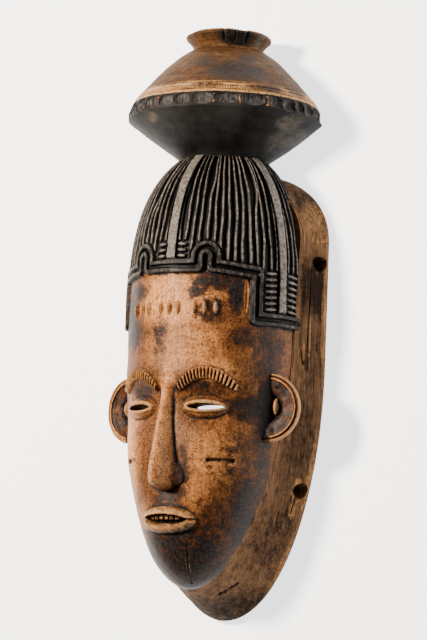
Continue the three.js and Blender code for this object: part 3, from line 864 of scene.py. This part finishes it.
def skirt():
    """The skirt, sloping from its flat rim up to the head, with fibres, adze marks and cracks."""
    count = 520 if FINE else 240
    share = np.arange(count) / count

    def rim(inset, z):
        top = (RIM_UPPER[0], RIM_UPPER[1] - inset, RIM_UPPER[2])
        bottom = (RIM_LOWER[0], RIM_LOWER[1] - inset, RIM_LOWER[2])
        x, y = outline(RIM_W - inset, top, bottom, share)
        return np.stack([x, y, np.full(count, float(z))], axis=-1)

    top = (RIM_UPPER[0], RIM_UPPER[1] - SHOULDER_IN, RIM_UPPER[2])
    x, y = outline(HEAD_R - 0.6, top, (JAW_Y, JAW_H - SKIN_IN + 0.5, 2), share)
    meets = smooth(12, -8, y)
    x = x - 1.1 * np.sign(x) * meets
    z = SHOULDER_Z + edge_z(y) - AXIS_Z + 3.2 * meets
    shoulder = np.stack([x, y, z], axis=-1)
    low = rim(0, RIM_Z)
    middle = np.array([0, -20, 0])
    out = low - middle
    out[:, 2] = 0
    out /= np.linalg.norm(out, axis=-1, keepdims=True)
    rings = [rim(RIM_ROUND, -2), rim(RIM_ROUND - 0.3, 0.3), rim(1.2, 2), rim(0.4, 4)]
    levels = 40 if FINE else 12
    for part in np.linspace(0, 1, levels):
        ring = mix(low, shoulder, part)
        fibres = 0.42 * rumple(ring, (3.2, 42, 3.2), 30) + 0.2 * rumple(ring, (1.7, 20, 1.7), 31)
        adzed = 0.5 * rumple(ring, (12, 26, 12), 32)
        dent = (fibres + adzed) * smooth(0, 0.12, part) * smooth(1, 0.94, part)
        dent = dent - sum(deep * smooth(wide, 0.1 * wide, distance_to_segment(ring, start, end))
                          for start, end, wide, deep in CRACKS)
        rings.append(ring + out * dent[:, None])
    return finish_form(drawn(rings), "skirt")


def hollow():
    """The cutter for the inside, deepest behind the face."""
    count = 220 if FINE else 120
    share = np.arange(count) / count
    rings = []
    heights = [-2, 0, *np.linspace(3, HOLLOW["depth"] - 1.5, 26 if FINE else 14), HOLLOW["depth"]]
    for z in heights:
        t = max(z, 0) / HOLLOW["depth"]
        if z < AXIS_Z:
            w = mix(HOLLOW["w"], HOLLOW["r"], max(z, 0) / AXIS_Z)
        else:
            w = math.sqrt(max(HOLLOW["r"] ** 2 - (z - AXIS_Z) ** 2, 9))
        top = 1 + (HOLLOW["top"] - 1) * math.sqrt(max(1 - t ** 2.5, 0))
        bottom = 1 - (HOLLOW["bottom"] + 1) * math.sqrt(max(1 - t ** 3.6, 0))
        x, y = outline(w, (0, top, 2.3), (0, bottom, 2), share)
        ring = np.stack([x, y, np.full(count, float(z))], axis=-1)
        cuts = np.abs(rumple(ring, (11, 19, 11), 40)) + 0.3 * np.abs(rumple(ring, (5, 8, 5), 41))
        inward = 1 - 0.022 * cuts * smooth(-1, 8, z)
        rings.append(ring * np.stack([inward, inward, np.ones(count)], axis=-1))
    return finish_form(drawn(rings), "hollow")


# Ears and cutters


def ear(way):
    """A round flap with a double rim, dished and then hollowed next to the head."""
    profile = rounded_line(EAR_PROFILE, 6 if FINE else 3)
    points = [(r, 0, z) for r, z in [(0, -16), *profile, (0, -8.1)]]
    bm = turned(points, (0, 0, 0), (0, 0, 1), 120)
    spots = places(bm)
    dish = np.hypot(*spots[:, :2].T) < 20
    rough = 0.3 * rumple(spots, 8, 50) + 0.3 * rumple(spots, 2.7, 51) * dish
    spots = spots + rough[:, None] * np.array([0.5, 0.5, 1])
    spots[:, 0] *= 0.98
    bump = mound(way * spots[:, 0] - EAR_BUMP[0], spots[:, 1] - EAR_BUMP[1], *EAR_BUMP[2:], 0.6)
    spots[:, 2] += 6.6 * bump * (spots[:, 2] > -9)
    move(bm, spots)
    bmesh.ops.rotate(bm, verts=bm.verts, matrix=Matrix.Rotation(way * EAR_TURN, 3, "Y"))
    bmesh.ops.translate(bm, verts=bm.verts, vec=(way * EAR_AT[0], EAR_Y, EAR_AT[1]))
    return finish_form(bm, "ear")


def rod(segments, start, end, shape):
    """A straight cutter from one end to the other: shape moves its unit section."""
    bm = bmesh.new()
    bmesh.ops.create_circle(bm, cap_ends=True, segments=segments, radius=1)
    geom = bmesh.ops.extrude_face_region(bm, geom=list(bm.faces))["geom"]
    ends = [g for g in geom if isinstance(g, bmesh.types.BMVert)]
    bmesh.ops.translate(bm, verts=ends, vec=(0, 0, 1))
    flat = places(bm)
    x, y = shape(flat[:, 0], flat[:, 1])
    move(bm, np.stack([x, y, mix(start, end, flat[:, 2])], axis=-1))
    return bm


def eye_slit(way):
    """The cutter for one eye, pointed at both ends."""
    def lens(x, y):
        tall = np.sign(y) * np.abs(y) ** 1.3
        return way * EYE_X + SLIT_HALF[0] * x, EYE_Y + SLIT_HALF[1] * tall

    return finish_form(rod(48, AXIS_Z, 2 * HEAD_R, lens), "slit")


def cord_hole(way, at_y):
    """The cutter for one cord hole, a little out of round as if burnt or bored by hand."""
    def bore(x, y):
        swell = CORD_HOLE_R * (1 + 0.05 * np.sin(3 * np.arctan2(y, x) + at_y))
        return swell * x, swell * y

    bm = rod(48, 50, 2 * RIM_W, bore)
    bmesh.ops.rotate(bm, verts=bm.verts, matrix=Matrix.Rotation(way * math.pi / 2, 3, "Y"))
    bmesh.ops.translate(bm, verts=bm.verts, vec=(0, at_y, CORD_HOLE_Z))
    return finish_form(bm, "bore")


def ground():
    """The cutter that leaves the back flat."""
    bm = bmesh.new()
    bmesh.ops.create_cube(bm, size=1)
    bmesh.ops.scale(bm, verts=bm.verts, vec=(4 * RIM_W, 3 * TOP_Y, 100))
    bmesh.ops.translate(bm, verts=bm.verts, vec=(0, 0, -50))
    return finish_form(bm, "ground")


def shaped(obj, name):
    """The object's mesh with its modifiers applied, as a new object."""
    bpy.context.view_layer.update()
    graph = bpy.context.evaluated_depsgraph_get()
    mesh = bpy.data.meshes.new_from_object(obj.evaluated_get(graph))
    mesh.name = name
    return in_scene(name, mesh)


def carve(finishes):
    """Joins the forms and makes the cuts, as one closed mesh that keeps each form's finish."""
    smoothed, turned_wood, hewn, gouged = finishes
    joins = [(dome(), smoothed), (skirt(), hewn), (pot(), turned_wood)]
    joins += [(ear(way), smoothed) for way in (-1, 1)]
    cuts = [(hollow(), gouged), (ground(), gouged)]
    cuts += [(eye_slit(way), hewn) for way in (-1, 1)]
    cuts += [(cord_hole(way, y), hewn) for way in (-1, 1) for y in CORD_HOLE_YS]
    block = head()
    block.data.materials.append(smoothed)
    for tool, finish in joins + cuts:
        tool.data.materials.append(finish)
        step = block.modifiers.new(tool.name, "BOOLEAN")
        step.operation = "UNION" if (tool, finish) in joins else "DIFFERENCE"
        step.solver = "MANIFOLD"
        step.material_mode = "TRANSFER"
        step.object = tool
    block.modifiers.new("triangles", "TRIANGULATE")
    whole = shaped(block, "whole")
    thin = whole.modifiers.new("thin", "DECIMATE")
    thin.ratio = min(1, MOST_TRIANGLES / len(whole.data.polygons))
    mask = shaped(whole, "carved_wood_mask")
    for used in [block, whole, *(tool for tool, _ in joins + cuts)]:
        bpy.data.objects.remove(used)
    mask.data.shade_smooth()
    mask.data.set_sharp_from_angle(angle=math.radians(SHARP_TURN))
    return mask


# Where each finish shows


def on_head_below(spots):
    """Angle and height on the head below each point."""
    y = np.clip(spots[:, 1], CHIN_Y + 0.2, CROWN_Y)
    across = spots[:, 0] / np.maximum(head_width(y), 0.5)
    out = (spots[:, 2] - edge_z(y)) / np.maximum(head_depth(y), 0.5)
    return np.arctan2(across, out), y


def standing_proud(mesh, spots, rounds):
    """How far each point stands out of its smoothed surroundings, for edges of one length."""
    count = len(spots)
    ends = np.zeros(2 * len(mesh.edges), np.int64)
    mesh.edges.foreach_get("vertices", ends)
    a, b = ends.reshape(-1, 2).T
    normals = np.zeros(3 * count)
    mesh.vertex_normals.foreach_get("vector", normals)
    links = np.bincount(np.concatenate([a, b]), minlength=count)
    reach = np.linalg.norm(spots[a] - spots[b], axis=1) ** 2
    reach = (np.bincount(a, reach, count) + np.bincount(b, reach, count)) / links
    even = spots
    for _ in range(rounds):
        even = np.stack([
            (np.bincount(a, even[b, k], count) + np.bincount(b, even[a, k], count)) / links
            for k in range(3)], axis=1)
    out = ((spots - even) * normals.reshape(-1, 3)).sum(axis=1)
    return out / np.maximum(reach / EDGE_LENGTH ** 2, 1)


def on_ear(spots):
    """Places across and up the nearer ear's face, and height over it."""
    out = np.abs(spots[:, 0]) - EAR_AT[0]
    front = spots[:, 2] - EAR_AT[1]
    across = out * math.cos(EAR_TURN) - front * math.sin(EAR_TURN)
    over = out * math.sin(EAR_TURN) + front * math.cos(EAR_TURN)
    return across, spots[:, 1] - EAR_Y, over


def ear_finish(spots):
    """Which points are on an ear, and how much they lie on its rims, bump and dish."""
    across, up, over = on_ear(spots)
    from_middle = np.hypot(across, up)
    near = (np.abs(spots[:, 0]) > 62) & (from_middle < 26)
    ear_face = near & (over > -9) & (over < 1.2)
    rim_from = np.where(spots[:, 0] < 0, 22.0, 22.9)
    outer_rim = ear_face * smooth(0, 0.6, from_middle - rim_from) * (over > -5)
    inner_rim = ear_face * smooth(0.9, 0.3, np.abs(from_middle - 21.0))
    bump = ear_face * mound(across - EAR_BUMP[0], up - EAR_BUMP[1], *EAR_BUMP[2:], 0.4)
    dish = ear_face * mix(1.0, 0.6, smooth(9, 14, from_middle)) * (1 - bump)
    return ear_face, outer_rim, inner_rim, bump, dish


def mark(mask):
    """Keeps on each point what its finish depends on."""
    mesh = mask.data
    spots = np.zeros(3 * len(mesh.vertices))
    mesh.vertices.foreach_get("co", spots)
    spots = spots.reshape(-1, 3) / MM
    angle, y = on_head_below(spots)
    x = head_width(y) * np.sin(angle)
    flat_x = angle * head_width(y)
    from_border, hair = zones(angle, y)
    _, crests = hair_relief(angle, y)
    bar = smooth(1.0, 1.8, from_border)
    in_border = smooth(BORDER_HALF + 0.3, BORDER_HALF - 0.3, from_border)
    ear_face, outer_rim, inner_rim, bump, dish = ear_finish(spots)
    lids = eyes(x, y)[1] * 0.9
    # Only the cut mouth brings so high a lift down
    in_mouth = mouth(x, y, np.full(x.shape, 100.0)) < 60
    mouth_rim = mound(x, y - MOUTH_Y - 0.2, 23, 11, 0.3) * ~in_mouth
    seeds = (forehead_marks(x, y)[1] > 0.2) * 0.4
    left = smooth(-15, -55, np.degrees(angle))
    sliver = mound(np.abs(flat_x) - SLIVER[0], y - SLIVER[1], 2.0, 13.2, 0.5)
    degrees = np.degrees(np.arctan2(spots[:, 0], spots[:, 2] - AXIS_Z))
    scooped, cusp = gouges(degrees, spots[:, 1])
    cusp = cusp * np.interp(degrees, *CUSPS_WORN)
    kept = {
        "hair_reach": np.where(hair, -1, 1) * from_border - BORDER_HALF,
        # The border's bars are paler on the left: wear, and painted highlight on the side the key
        # light comes from
        "crest": mix(crests, mix(0.68, 0.84, left) * bar, in_border),
        "side": left,
        # Inside the cut mouth proud is lowered, which darkens it with the hollows' dirt and
        # painted shade
        "proud": standing_proud(mesh, spots, FINE_ROUNDS) - 0.6 * in_mouth + 0.5 * outer_rim,
        "swell": standing_proud(mesh, spots, BROAD_ROUNDS),
        "across": flat_x,
        "on_ear": ear_face,
        "stained": np.maximum(dish, 0.5 * in_mouth),
        "pale": np.max([lids, 0.68 * mouth_rim, 0.95 * outer_rim, 0.9 * bump, seeds], axis=0),
        "bare": np.maximum(sliver, inner_rim),
        "cusp": cusp,
        "scooped": scooped,
    }
    for name in KEPT:
        made = mesh.attributes.new(name, "FLOAT", "POINT")
        made.data.foreach_set("value", kept[name].astype(np.float32))


# Materials


def linear(code):
    """An sRGB hex value as linear colour."""
    parts = [int(code[i:i + 2], 16) / 255 for i in (1, 3, 5)]
    return tuple(p / 12.92 if p <= 0.04045 else ((p + 0.055) / 1.055) ** 2.4 for p in parts) + (1,)


def add(wood, kind, inputs=None, out=0, **settings):
    """Adds a node with its settings and inputs, and returns one of its outputs.

    An input is a value, a link or the name of one of the wood's patterns.
    """
    node = wood.tree.nodes.new("ShaderNode" + kind)
    for name, value in settings.items():
        setattr(node, name, value)
    for name, value in (inputs or {}).items():
        if isinstance(value, str):
            value = wood[value]
        if isinstance(value, bpy.types.NodeSocket):
            wood.tree.links.new(value, node.inputs[name])
        else:
            node.inputs[name].default_value = value
    return node.outputs[out]


def each(size):
    """Scale of a pattern whose features measure this many millimetres."""
    return 1 / (size * MM)


class Wood(dict):
    """A material in the making, and by name its patterns and what the mesh keeps for it.

    The patterns place, x, y and z tell where a spot of the mask is, in millimetres.
    """

    def __init__(self, name, shine):
        self.material = bpy.data.materials.new(name)
        self.material.use_nodes = True
        self.tree = self.material.node_tree
        self.shader = self.tree.nodes["Principled BSDF"]
        self.shader.inputs["Specular IOR Level"].default_value = shine
        spot = add(self, "TexCoord", out="Object")
        self["place"] = add(self, "VectorMath", {0: spot, "Scale": each(1)}, operation="SCALE")
        for side in "XYZ":
            self[side.lower()] = add(self, "SeparateXYZ", {0: "place"}, side)
        for pattern, (across, along, detail, roughness) in NOISE.items():
            at = add(self, "Mapping", {"Vector": spot, "Scale": (1, across / along, 1)})
            self[pattern] = add(self, "TexNoise", {
                "Vector": at, "Scale": each(across), "Detail": detail, "Roughness": roughness})
        for kept in KEPT:
            self[kept] = add(self, "Attribute", out="Fac", attribute_name=kept)


def weighed(wood, base=0.0, **weights):
    """A base value and the named patterns, each times its weight, as one sum."""
    total = base
    for name, weight in weights.items():
        total = add(wood, "Math", {0: name, 1: weight, 2: total}, operation="MULTIPLY_ADD")
    return total


def past(wood, *ranges):
    """1 where every value is past its range, and 0 where one hasn't reached its own.

    A range is a value or a pattern's name, where it starts and where it ends, and it may fall.
    """
    parts = [
        add(wood, "MapRange", {"Value": value, "From Min": start, "From Max": end})
        for value, start, end in ranges]
    share = parts[0]
    for part in parts[1:]:
        share = add(wood, "Math", {0: share, 1: part}, operation="MULTIPLY")
    return share


def tones(wood, value, start, end, dark, light):
    """A colour that goes from dark to light, hex values or colours, over a range of the value."""
    dark, light = (linear(c) if isinstance(c, str) else c for c in (dark, light))
    inputs = {0: past(wood, (value, start, end)), 6: dark, 7: light}
    return add(wood, "Mix", inputs, 2, data_type="RGBA")


def patches(wood, at, table):
    """Strength of the strongest patch in the table, fading out from each one's middle."""
    most = 0.0
    for *place, strong in table:
        middle = (*place[:len(place) // 2], 0)[:3]
        half = (*place[len(place) // 2:], 1)[:3]
        inputs = {"Vector": at, "Location": middle, "Scale": half}
        local = add(wood, "Mapping", inputs, vector_type="TEXTURE")
        away = add(wood, "VectorMath", {0: local}, "Value", operation="LENGTH")
        inputs = {"Value": away, "From Min": PATCH_WHOLE, "From Max": PATCH_GONE,
                  "To Min": strong, "To Max": 0.0}
        patch = add(wood, "MapRange", inputs, interpolation_type="SMOOTHSTEP")
        most = add(wood, "Math", {0: most, 1: patch}, operation="MAXIMUM")
    return most


def from_cracks(wood):
    """Distance from the nearest crack, in its own half widths, frayed along its edges."""
    nearest = 9.0
    for start, end, wide, _ in CRACKS:
        run = Vector(end) - Vector(start)
        off = add(wood, "VectorMath", {0: "place", 1: start}, operation="SUBTRACT")
        inputs = {0: off, 1: run / run.length_squared}
        part = add(wood, "VectorMath", inputs, "Value", operation="DOT_PRODUCT")
        part = add(wood, "Clamp", {"Value": part})
        along = add(wood, "VectorMath", {0: run, "Scale": part}, operation="SCALE")
        away = add(wood, "VectorMath", {0: off, 1: along}, "Value", operation="DISTANCE")
        away = add(wood, "Math", {0: away, 1: wide}, operation="DIVIDE")
        nearest = add(wood, "Math", {0: nearest, 1: away}, operation="MINIMUM")
    return weighed(wood, nearest, specks=0.7)


def polished_wood(wood):
    """Dense hardwood, oiled and rubbed: a satin gloss over close brown and tan speckling."""
    grain = weighed(wood, specks=0.6, blotches=0.35, pores=0.75, fibres=0.3)
    brown = tones(wood, grain, 0.86, 1.16, "#241207", "#7a4b22")
    warm = tones(wood, grain, 0.84, 1.18, "#693815", "#df9b5c")
    # Rubbed places, partly painted highlight, with random clouds bring in the warm tones
    light = weighed(wood, rubbed=0.9, clouds=0.5, blotches=0.3)
    colour = tones(wood, light, 0.4, 1.1, brown, warm)
    roughness = weighed(wood, 0.24, specks=0.25, blotches=0.2)
    return colour, roughness, weighed(wood, pores=0.08, specks=0.16, fibres=0.06)


def patina(wood):
    """Old soot and oil, rubbed to a dull gloss; also laid as painted shade in hollows and on
    shaded places of the face.
    """
    colour = tones(wood, "specks", 0.38, 0.7, "#0a0808", "#2f2723")
    return colour, weighed(wood, 0.3, specks=0.3), weighed(wood, pores=0.07, specks=0.16)


def dark_oil(wood):
    """Where oil and handling have only browned the wood."""
    colour = tones(wood, "specks", 0.38, 0.66, "#1b0d06", "#4c2b16")
    return colour, weighed(wood, 0.32, specks=0.25), weighed(wood, pores=0.06, specks=0.12)


def pale_wood(wood, light="#c1935f"):
    """Wood worn back to its own tan, with a dry, close grain."""
    grain = weighed(wood, specks=0.5, fibres=0.5)
    colour = tones(wood, grain, 0.36, 0.62, "#5e3c20", light)
    return colour, weighed(wood, 0.45, specks=0.2), weighed(wood, pores=0.06, fibres=0.08)


def bare_wood(wood):
    """Fresh edges, where the stain is gone: orange heartwood."""
    colour = tones(wood, "specks", 0.35, 0.65, "#8a4b1c", "#cf8c50")
    return colour, weighed(wood, 0.45, fibres=0.2), weighed(wood, fibres=0.1)


def blackened_hair(wood):
    """Wood burnt and dyed black, with the crests rubbed to a warm grey."""
    worn = weighed(wood, crest=1.0, proud=0.18, breaks=0.35, specks=0.3)
    black = tones(wood, "side", 0, 1, "#020202", "#0f0b08")
    brown = tones(wood, "side", 0, 1, "#1e1b18", "#2a2119")
    colour = tones(wood, worn, 0.75, 1.1, black, brown)
    mottle = weighed(wood, specks=0.6, flakes=0.5)
    grey = tones(wood, mottle, 0.42, 0.7, "#2b2725", "#7d756d")
    crest = weighed(wood, past(wood, (worn, 1.12, 1.34)), side=-0.35)
    colour = tones(wood, crest, 0, 1, colour, grey)
    roughness = weighed(wood, 0.4, specks=0.25)
    return colour, roughness, weighed(wood, pores=0.08, specks=0.15, breaks=0.1)


def sooty_wood(wood):
    """A smooth turned surface, matt black with soot, dusty grey where it was rubbed."""
    cloud = weighed(wood, clouds=0.6, blotches=0.3, pores=0.15)
    colour = tones(wood, cloud, 0.44, 0.66, "#0b0a0a", "#2a2826")
    roughness = weighed(wood, 0.5, specks=0.15)
    return colour, roughness, weighed(wood, pores=0.06, blotches=0.25, turning=0.1)


def scooped_wood(wood):
    """Gouge cuts: soot with a dull shine on the fine lines the blade left."""
    shade = weighed(wood, blade_lines=0.6, blotches=0.5)
    colour = tones(wood, shade, 0.42, 0.66, "#0d0b0b", "#4b4846")
    return colour, weighed(wood, 0.38, specks=0.2), weighed(wood, blade_lines=0.35, pores=0.06)


def dusty_wood(wood):
    """Soot worn thin, with tan dust held in the pores."""
    dust = weighed(wood, blotches=0.7, specks=0.3)
    colour = tones(wood, dust, 0.38, 0.62, "#2a2722", "#5a5246")
    return colour, weighed(wood, 0.55, specks=0.15), weighed(wood, pores=0.06)


def turned_brown(wood):
    """The pot's shoulder: brown wood, stained dark in blotches and scuffed."""
    grain = weighed(wood, specks=0.45, flakes=0.55, turning=0.3)
    colour = tones(wood, grain, 0.5, 0.85, "#160f08", "#634223")
    roughness = weighed(wood, 0.5, specks=0.2)
    return colour, roughness, weighed(wood, pores=0.06, specks=0.14, turning=0.14)


def hewn_wood(wood):
    """Adze-cut wood: fibres along the log, with old stains, dull with age."""
    grain = weighed(wood, fibres=0.55, bands=0.4, flakes=0.5, stains=-0.24)
    colour = tones(wood, grain, 0.5, 0.95, "#20150e", "#7f5d40")
    roughness = weighed(wood, 0.55, fibres=0.25)
    return colour, roughness, weighed(wood, fibres=0.6, bands=0.6, pores=0.08)


def raw_wood(wood):
    """Gouge-cut wood, never oiled, darkened only by handling."""
    grain = weighed(wood, fibres=0.4, bands=0.3, clouds=0.4)
    colour = tones(wood, grain, 0.42, 0.68, "#2b1b10", "#86613f")
    roughness = weighed(wood, 0.55, fibres=0.25)
    return colour, roughness, weighed(wood, fibres=0.4, bands=0.3, pores=0.08)


def rubbed_edges(wood, start, swell=0.0):
    """The range in which an edge is rubbed pale."""
    edge = weighed(wood, proud=1.2, swell=swell, specks=0.7, blotches=0.7)
    return edge, start, start + 0.5


def dirt_and_shade_in_hollows(wood, start):
    """The range in which a hollow is darkened: dirt held there, and painted shade where less light
    reaches.
    """
    low = weighed(wood, proud=-1.3, swell=-0.3, specks=0.6)
    return low, start, start + 0.6


def incised_lines(wood):
    """Three lines cut round the shoulder, with a row of ticks under the middle one."""
    off = weighed(wood, -BAND_LOW, level=1.0)
    from_ring = add(wood, "Math", {0: off, 1: BAND_STEP / 2}, operation="PINGPONG")
    run = weighed(wood, turn=BELLY_R / TICK_STEP, specks=0.5)
    from_tick = add(wood, "Math", {0: run, 1: 0.5}, operation="PINGPONG")
    off_row = weighed(wood, -BAND_LOW - BAND_STEP / 2, level=1.0)
    from_row = add(wood, "Math", {0: off_row}, operation="ABSOLUTE")
    ring = past(wood, (from_ring, 0.45, 0.1))
    tick = past(wood, (from_tick, 0.24, 0.08), (from_row, 1.0, 0.8))
    either = add(wood, "Math", {0: ring, 1: tick}, operation="MAXIMUM")
    top = 2 * BAND_STEP
    return past(wood, (either, 0, 1), (off, -0.6, -0.4), (off, top + 0.6, top + 0.3))


def finished(wood, base, *layers):
    """Sets a base finish, and the layers over it, on the wood's shader.

    A finish is a function that gives a colour, a roughness and a height in millimetres. A
    layer is its finish and then the ranges past which it covers what is below.
    """
    colour, roughness, height = base(wood)
    for cover, *ranges in layers:
        over = cover(wood)
        share = past(wood, *ranges)
        colour = add(wood, "Mix", {0: share, 6: colour, 7: over[0]}, 2, data_type="RGBA")
        roughness = add(wood, "Mix", {0: share, 2: roughness, 3: over[1]})
        height = add(wood, "Mix", {0: share, 2: height, 3: over[2]})
    bump = add(wood, "Bump", {"Height": height, "Distance": MM, "Strength": 1.0})
    for name, value in (("Base Color", colour), ("Roughness", roughness), ("Normal", bump)):
        wood.tree.links.new(value, wood.shader.inputs[name])
    return wood.material


def polished_face():
    """Face, ears and hair: polished hardwood, dark patina with painted shade, rubbed places with
    painted highlight, blackened hair.
    """
    wood = Wood("polished_hardwood", 0.1)
    opened = add(wood, "CombineXYZ", {"X": "across", "Y": "y"})
    # Rubbed places, with painted highlight where the key light falls
    wood["rubbed"] = patches(wood, opened, RUBBED_AND_HIGHLIT)
    skin = weighed(wood, 1.0, on_ear=-1.0)
    # Patina and painted shade from the table, kept off the ears
    stain = patches(wood, opened, PATINA_AND_SHADE)
    stain = add(wood, "Math", {0: stain, 1: skin}, operation="MULTIPLY")
    wood["stain"] = add(wood, "Math", {0: stain, 1: "stained"}, operation="MAXIMUM")
    stain = weighed(wood, stain=0.7, blotches=0.8, flakes=1.5, specks=0.5)
    pale = weighed(wood, pale=0.9, specks=0.5, flakes=0.6)
    reach = weighed(wood, hair_reach=-1.0, specks=1.2)
    return finished(
        wood, polished_wood,
        # Patina and painted shade, in two steps: browned, then near black
        (dark_oil, (stain, 1.5, 1.74)),
        (patina, (stain, 1.78, 1.96)),
        (pale_wood, (pale, 0.9, 1.35)),
        (partial(pale_wood, light="#b08253"), rubbed_edges(wood, 1.2, 0.12)),
        # Dirt and painted shade in hollows and creases
        (patina, dirt_and_shade_in_hollows(wood, 0.66)),
        (bare_wood, ("bare", 0.2, 0.6)),
        (blackened_hair, (reach, -0.2, 0.5)))


def turned_pot():
    """The pot: sooty below and in the gouges, brown and worn above."""
    wood = Wood("turned_and_stained_wood", 0.06)
    wood["level"] = weighed(wood, -1.6, y=1.0, clouds=2.4, specks=0.8)
    forward = weighed(wood, -AXIS_Z, z=1.0)
    wood["turn"] = add(wood, "Math", {0: "x", 1: forward}, operation="ARCTAN2")
    degrees = weighed(wood, turn=math.degrees(1))
    around = add(wood, "CombineXYZ", {"X": degrees, "Y": "y"})
    wood["dark"] = patches(wood, around, POT_DARK)
    dark = weighed(wood, dark=0.85, flakes=1.2, specks=0.6)
    wood["neck"] = past(wood, ("level", *NECK_ABOVE), ("level", *NECK_BELOW))
    neck = weighed(wood, neck=0.5, blotches=0.7, specks=0.5)
    lip = weighed(wood, y=1.0, blotches=2.0, specks=1.6)
    wood["dusty"] = patches(wood, around, POT_DUSTY)
    dusty = weighed(wood, dusty=0.9, blotches=0.6, specks=0.4)
    cusp = weighed(wood, cusp=1.0, flakes=1.2, specks=0.6)
    return finished(
        wood, turned_brown,
        (patina, (dark, 1.25, 1.7)),
        (pale_wood, ("level", *PALE_BAND_BELOW), (dark, 1.4, 1.05)),
        (partial(pale_wood, light="#97704a"), (neck, 1.05, 1.4)),
        (pale_wood, (lip, *LIP_ABOVE)),
        (dark_oil, (incised_lines(wood), 0, 1), (dark, 1.7, 1.3)),
        (pale_wood, ("level", *WORN_EDGE_BELOW)),
        (sooty_wood, ("level", *SOOT_BELOW)),
        (dusty_wood, (dusty, 0.9, 1.6)),
        (scooped_wood, ("scooped", 0.05, 0.35)),
        (bare_wood, (cusp, 1.65, 1.85)))


def hewn_skirt():
    """The skirt and cord holes: rough wood, worn tan only along its edges."""
    wood = Wood("rough_hewn_wood", 0.04)
    wood["stains"] = patches(wood, "place", SKIRT_DARK)
    wood["scar"] = patches(wood, "place", SCARS)
    scar = weighed(wood, scar=0.8, fibres=0.9, flakes=0.7)
    return finished(
        wood, hewn_wood,
        (partial(pale_wood, light="#96693c"), rubbed_edges(wood, 1.4)),
        # Dirt and painted shade in hollows and creases
        (patina, dirt_and_shade_in_hollows(wood, 0.8)),
        (partial(pale_wood, light="#a97d4f"), (scar, 1.05, 1.6)),
        (patina, (from_cracks(wood), 1.3, 0.75)))


def gouged_inside():
    """The hollow behind the face: bare tool-cut wood."""
    wood = Wood("gouged_raw_wood", 0.2)
    # Brown dirt and painted shade in the hollows of the tool cuts
    return finished(wood, raw_wood, (dark_oil, dirt_and_shade_in_hollows(wood, 0.9)))


# Floor, light and camera


def view_axes():
    """Right, up and towards the camera, as it is turned in its own view."""
    across, down, roll = (math.radians(a) for a in (VIEW_ACROSS, VIEW_DOWN, VIEW_ROLL))
    level = math.cos(down)
    out = Vector((math.sin(across) * level, math.sin(down), math.cos(across) * level))
    right = Vector((0, 1, 0)).cross(out).normalized()
    right = Matrix.Rotation(roll, 3, out) @ right
    return right, out.cross(right), out


def aimed(obj, spot, target, up):
    """Sets an object at a spot so that its -Z looks at the target."""
    back = (spot - target).normalized()
    right = up.cross(back).normalized()
    turn = Matrix((right, back.cross(right), back)).transposed()
    obj.matrix_world = Matrix.Translation(spot) @ turn.to_4x4()


def make_floor():
    """A white table, lit from within as for a catalogue photograph."""
    bm = bmesh.new()
    bmesh.ops.create_grid(bm, x_segments=1, y_segments=1, size=FLOOR_HALF)
    mesh = bpy.data.meshes.new("floor")
    bm.to_mesh(mesh)
    bm.free()
    floor = in_scene("floor", mesh)
    table = bpy.data.materials.new("white_acrylic")
    table.use_nodes = True
    shader = table.node_tree.nodes["Principled BSDF"]
    shader.inputs["Base Color"].default_value = linear("#f2f3f4")
    shader.inputs["Roughness"].default_value = 0.9
    shader.inputs["Emission Color"].default_value = linear("#fbfdff")
    shader.inputs["Emission Strength"].default_value = FLOOR_GLOW
    mesh.materials.append(table)


def soft_light(name, right, up, out, size, watts, colour="#ffffff"):
    """A round soft light placed as seen by the camera, aimed at the mask."""
    axes = view_axes()
    target = Vector(VIEW_AIM) * MM
    spot = target + axes[0] * right + axes[1] * up + axes[2] * out
    data = bpy.data.lights.new(name, "AREA")
    data.shape = "DISK"
    data.size = size
    data.energy = watts
    data.color = linear(colour)[:3]
    aimed(in_scene(name, data), spot, target, axes[1])


def make_camera():
    _, up, out = view_axes()
    data = bpy.data.cameras.new("camera")
    data.lens = VIEW_LENS
    camera = in_scene("camera", data)
    target = Vector(VIEW_AIM) * MM
    aimed(camera, target + out * VIEW_FAR * MM, target, up)
    bpy.context.scene.camera = camera


def make_sky():
    world = bpy.data.worlds.new("studio")
    bpy.context.scene.world = world
    world.use_nodes = True
    back = world.node_tree.nodes["Background"]
    back.inputs["Color"].default_value = linear("#ffffff")
    back.inputs["Strength"].default_value = SKY_GLOW


mask = carve((polished_face(), turned_pot(), hewn_skirt(), gouged_inside()))
mark(mask)
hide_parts("carved_mask")
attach(mask, "root")

make_floor()
make_camera()
make_sky()
soft_light("key", -1.45, 0.6, 0.85, 0.32, 125, "#fff1e0")
soft_light("edge", 1.4, 0.5, 0.7, 0.6, 20)
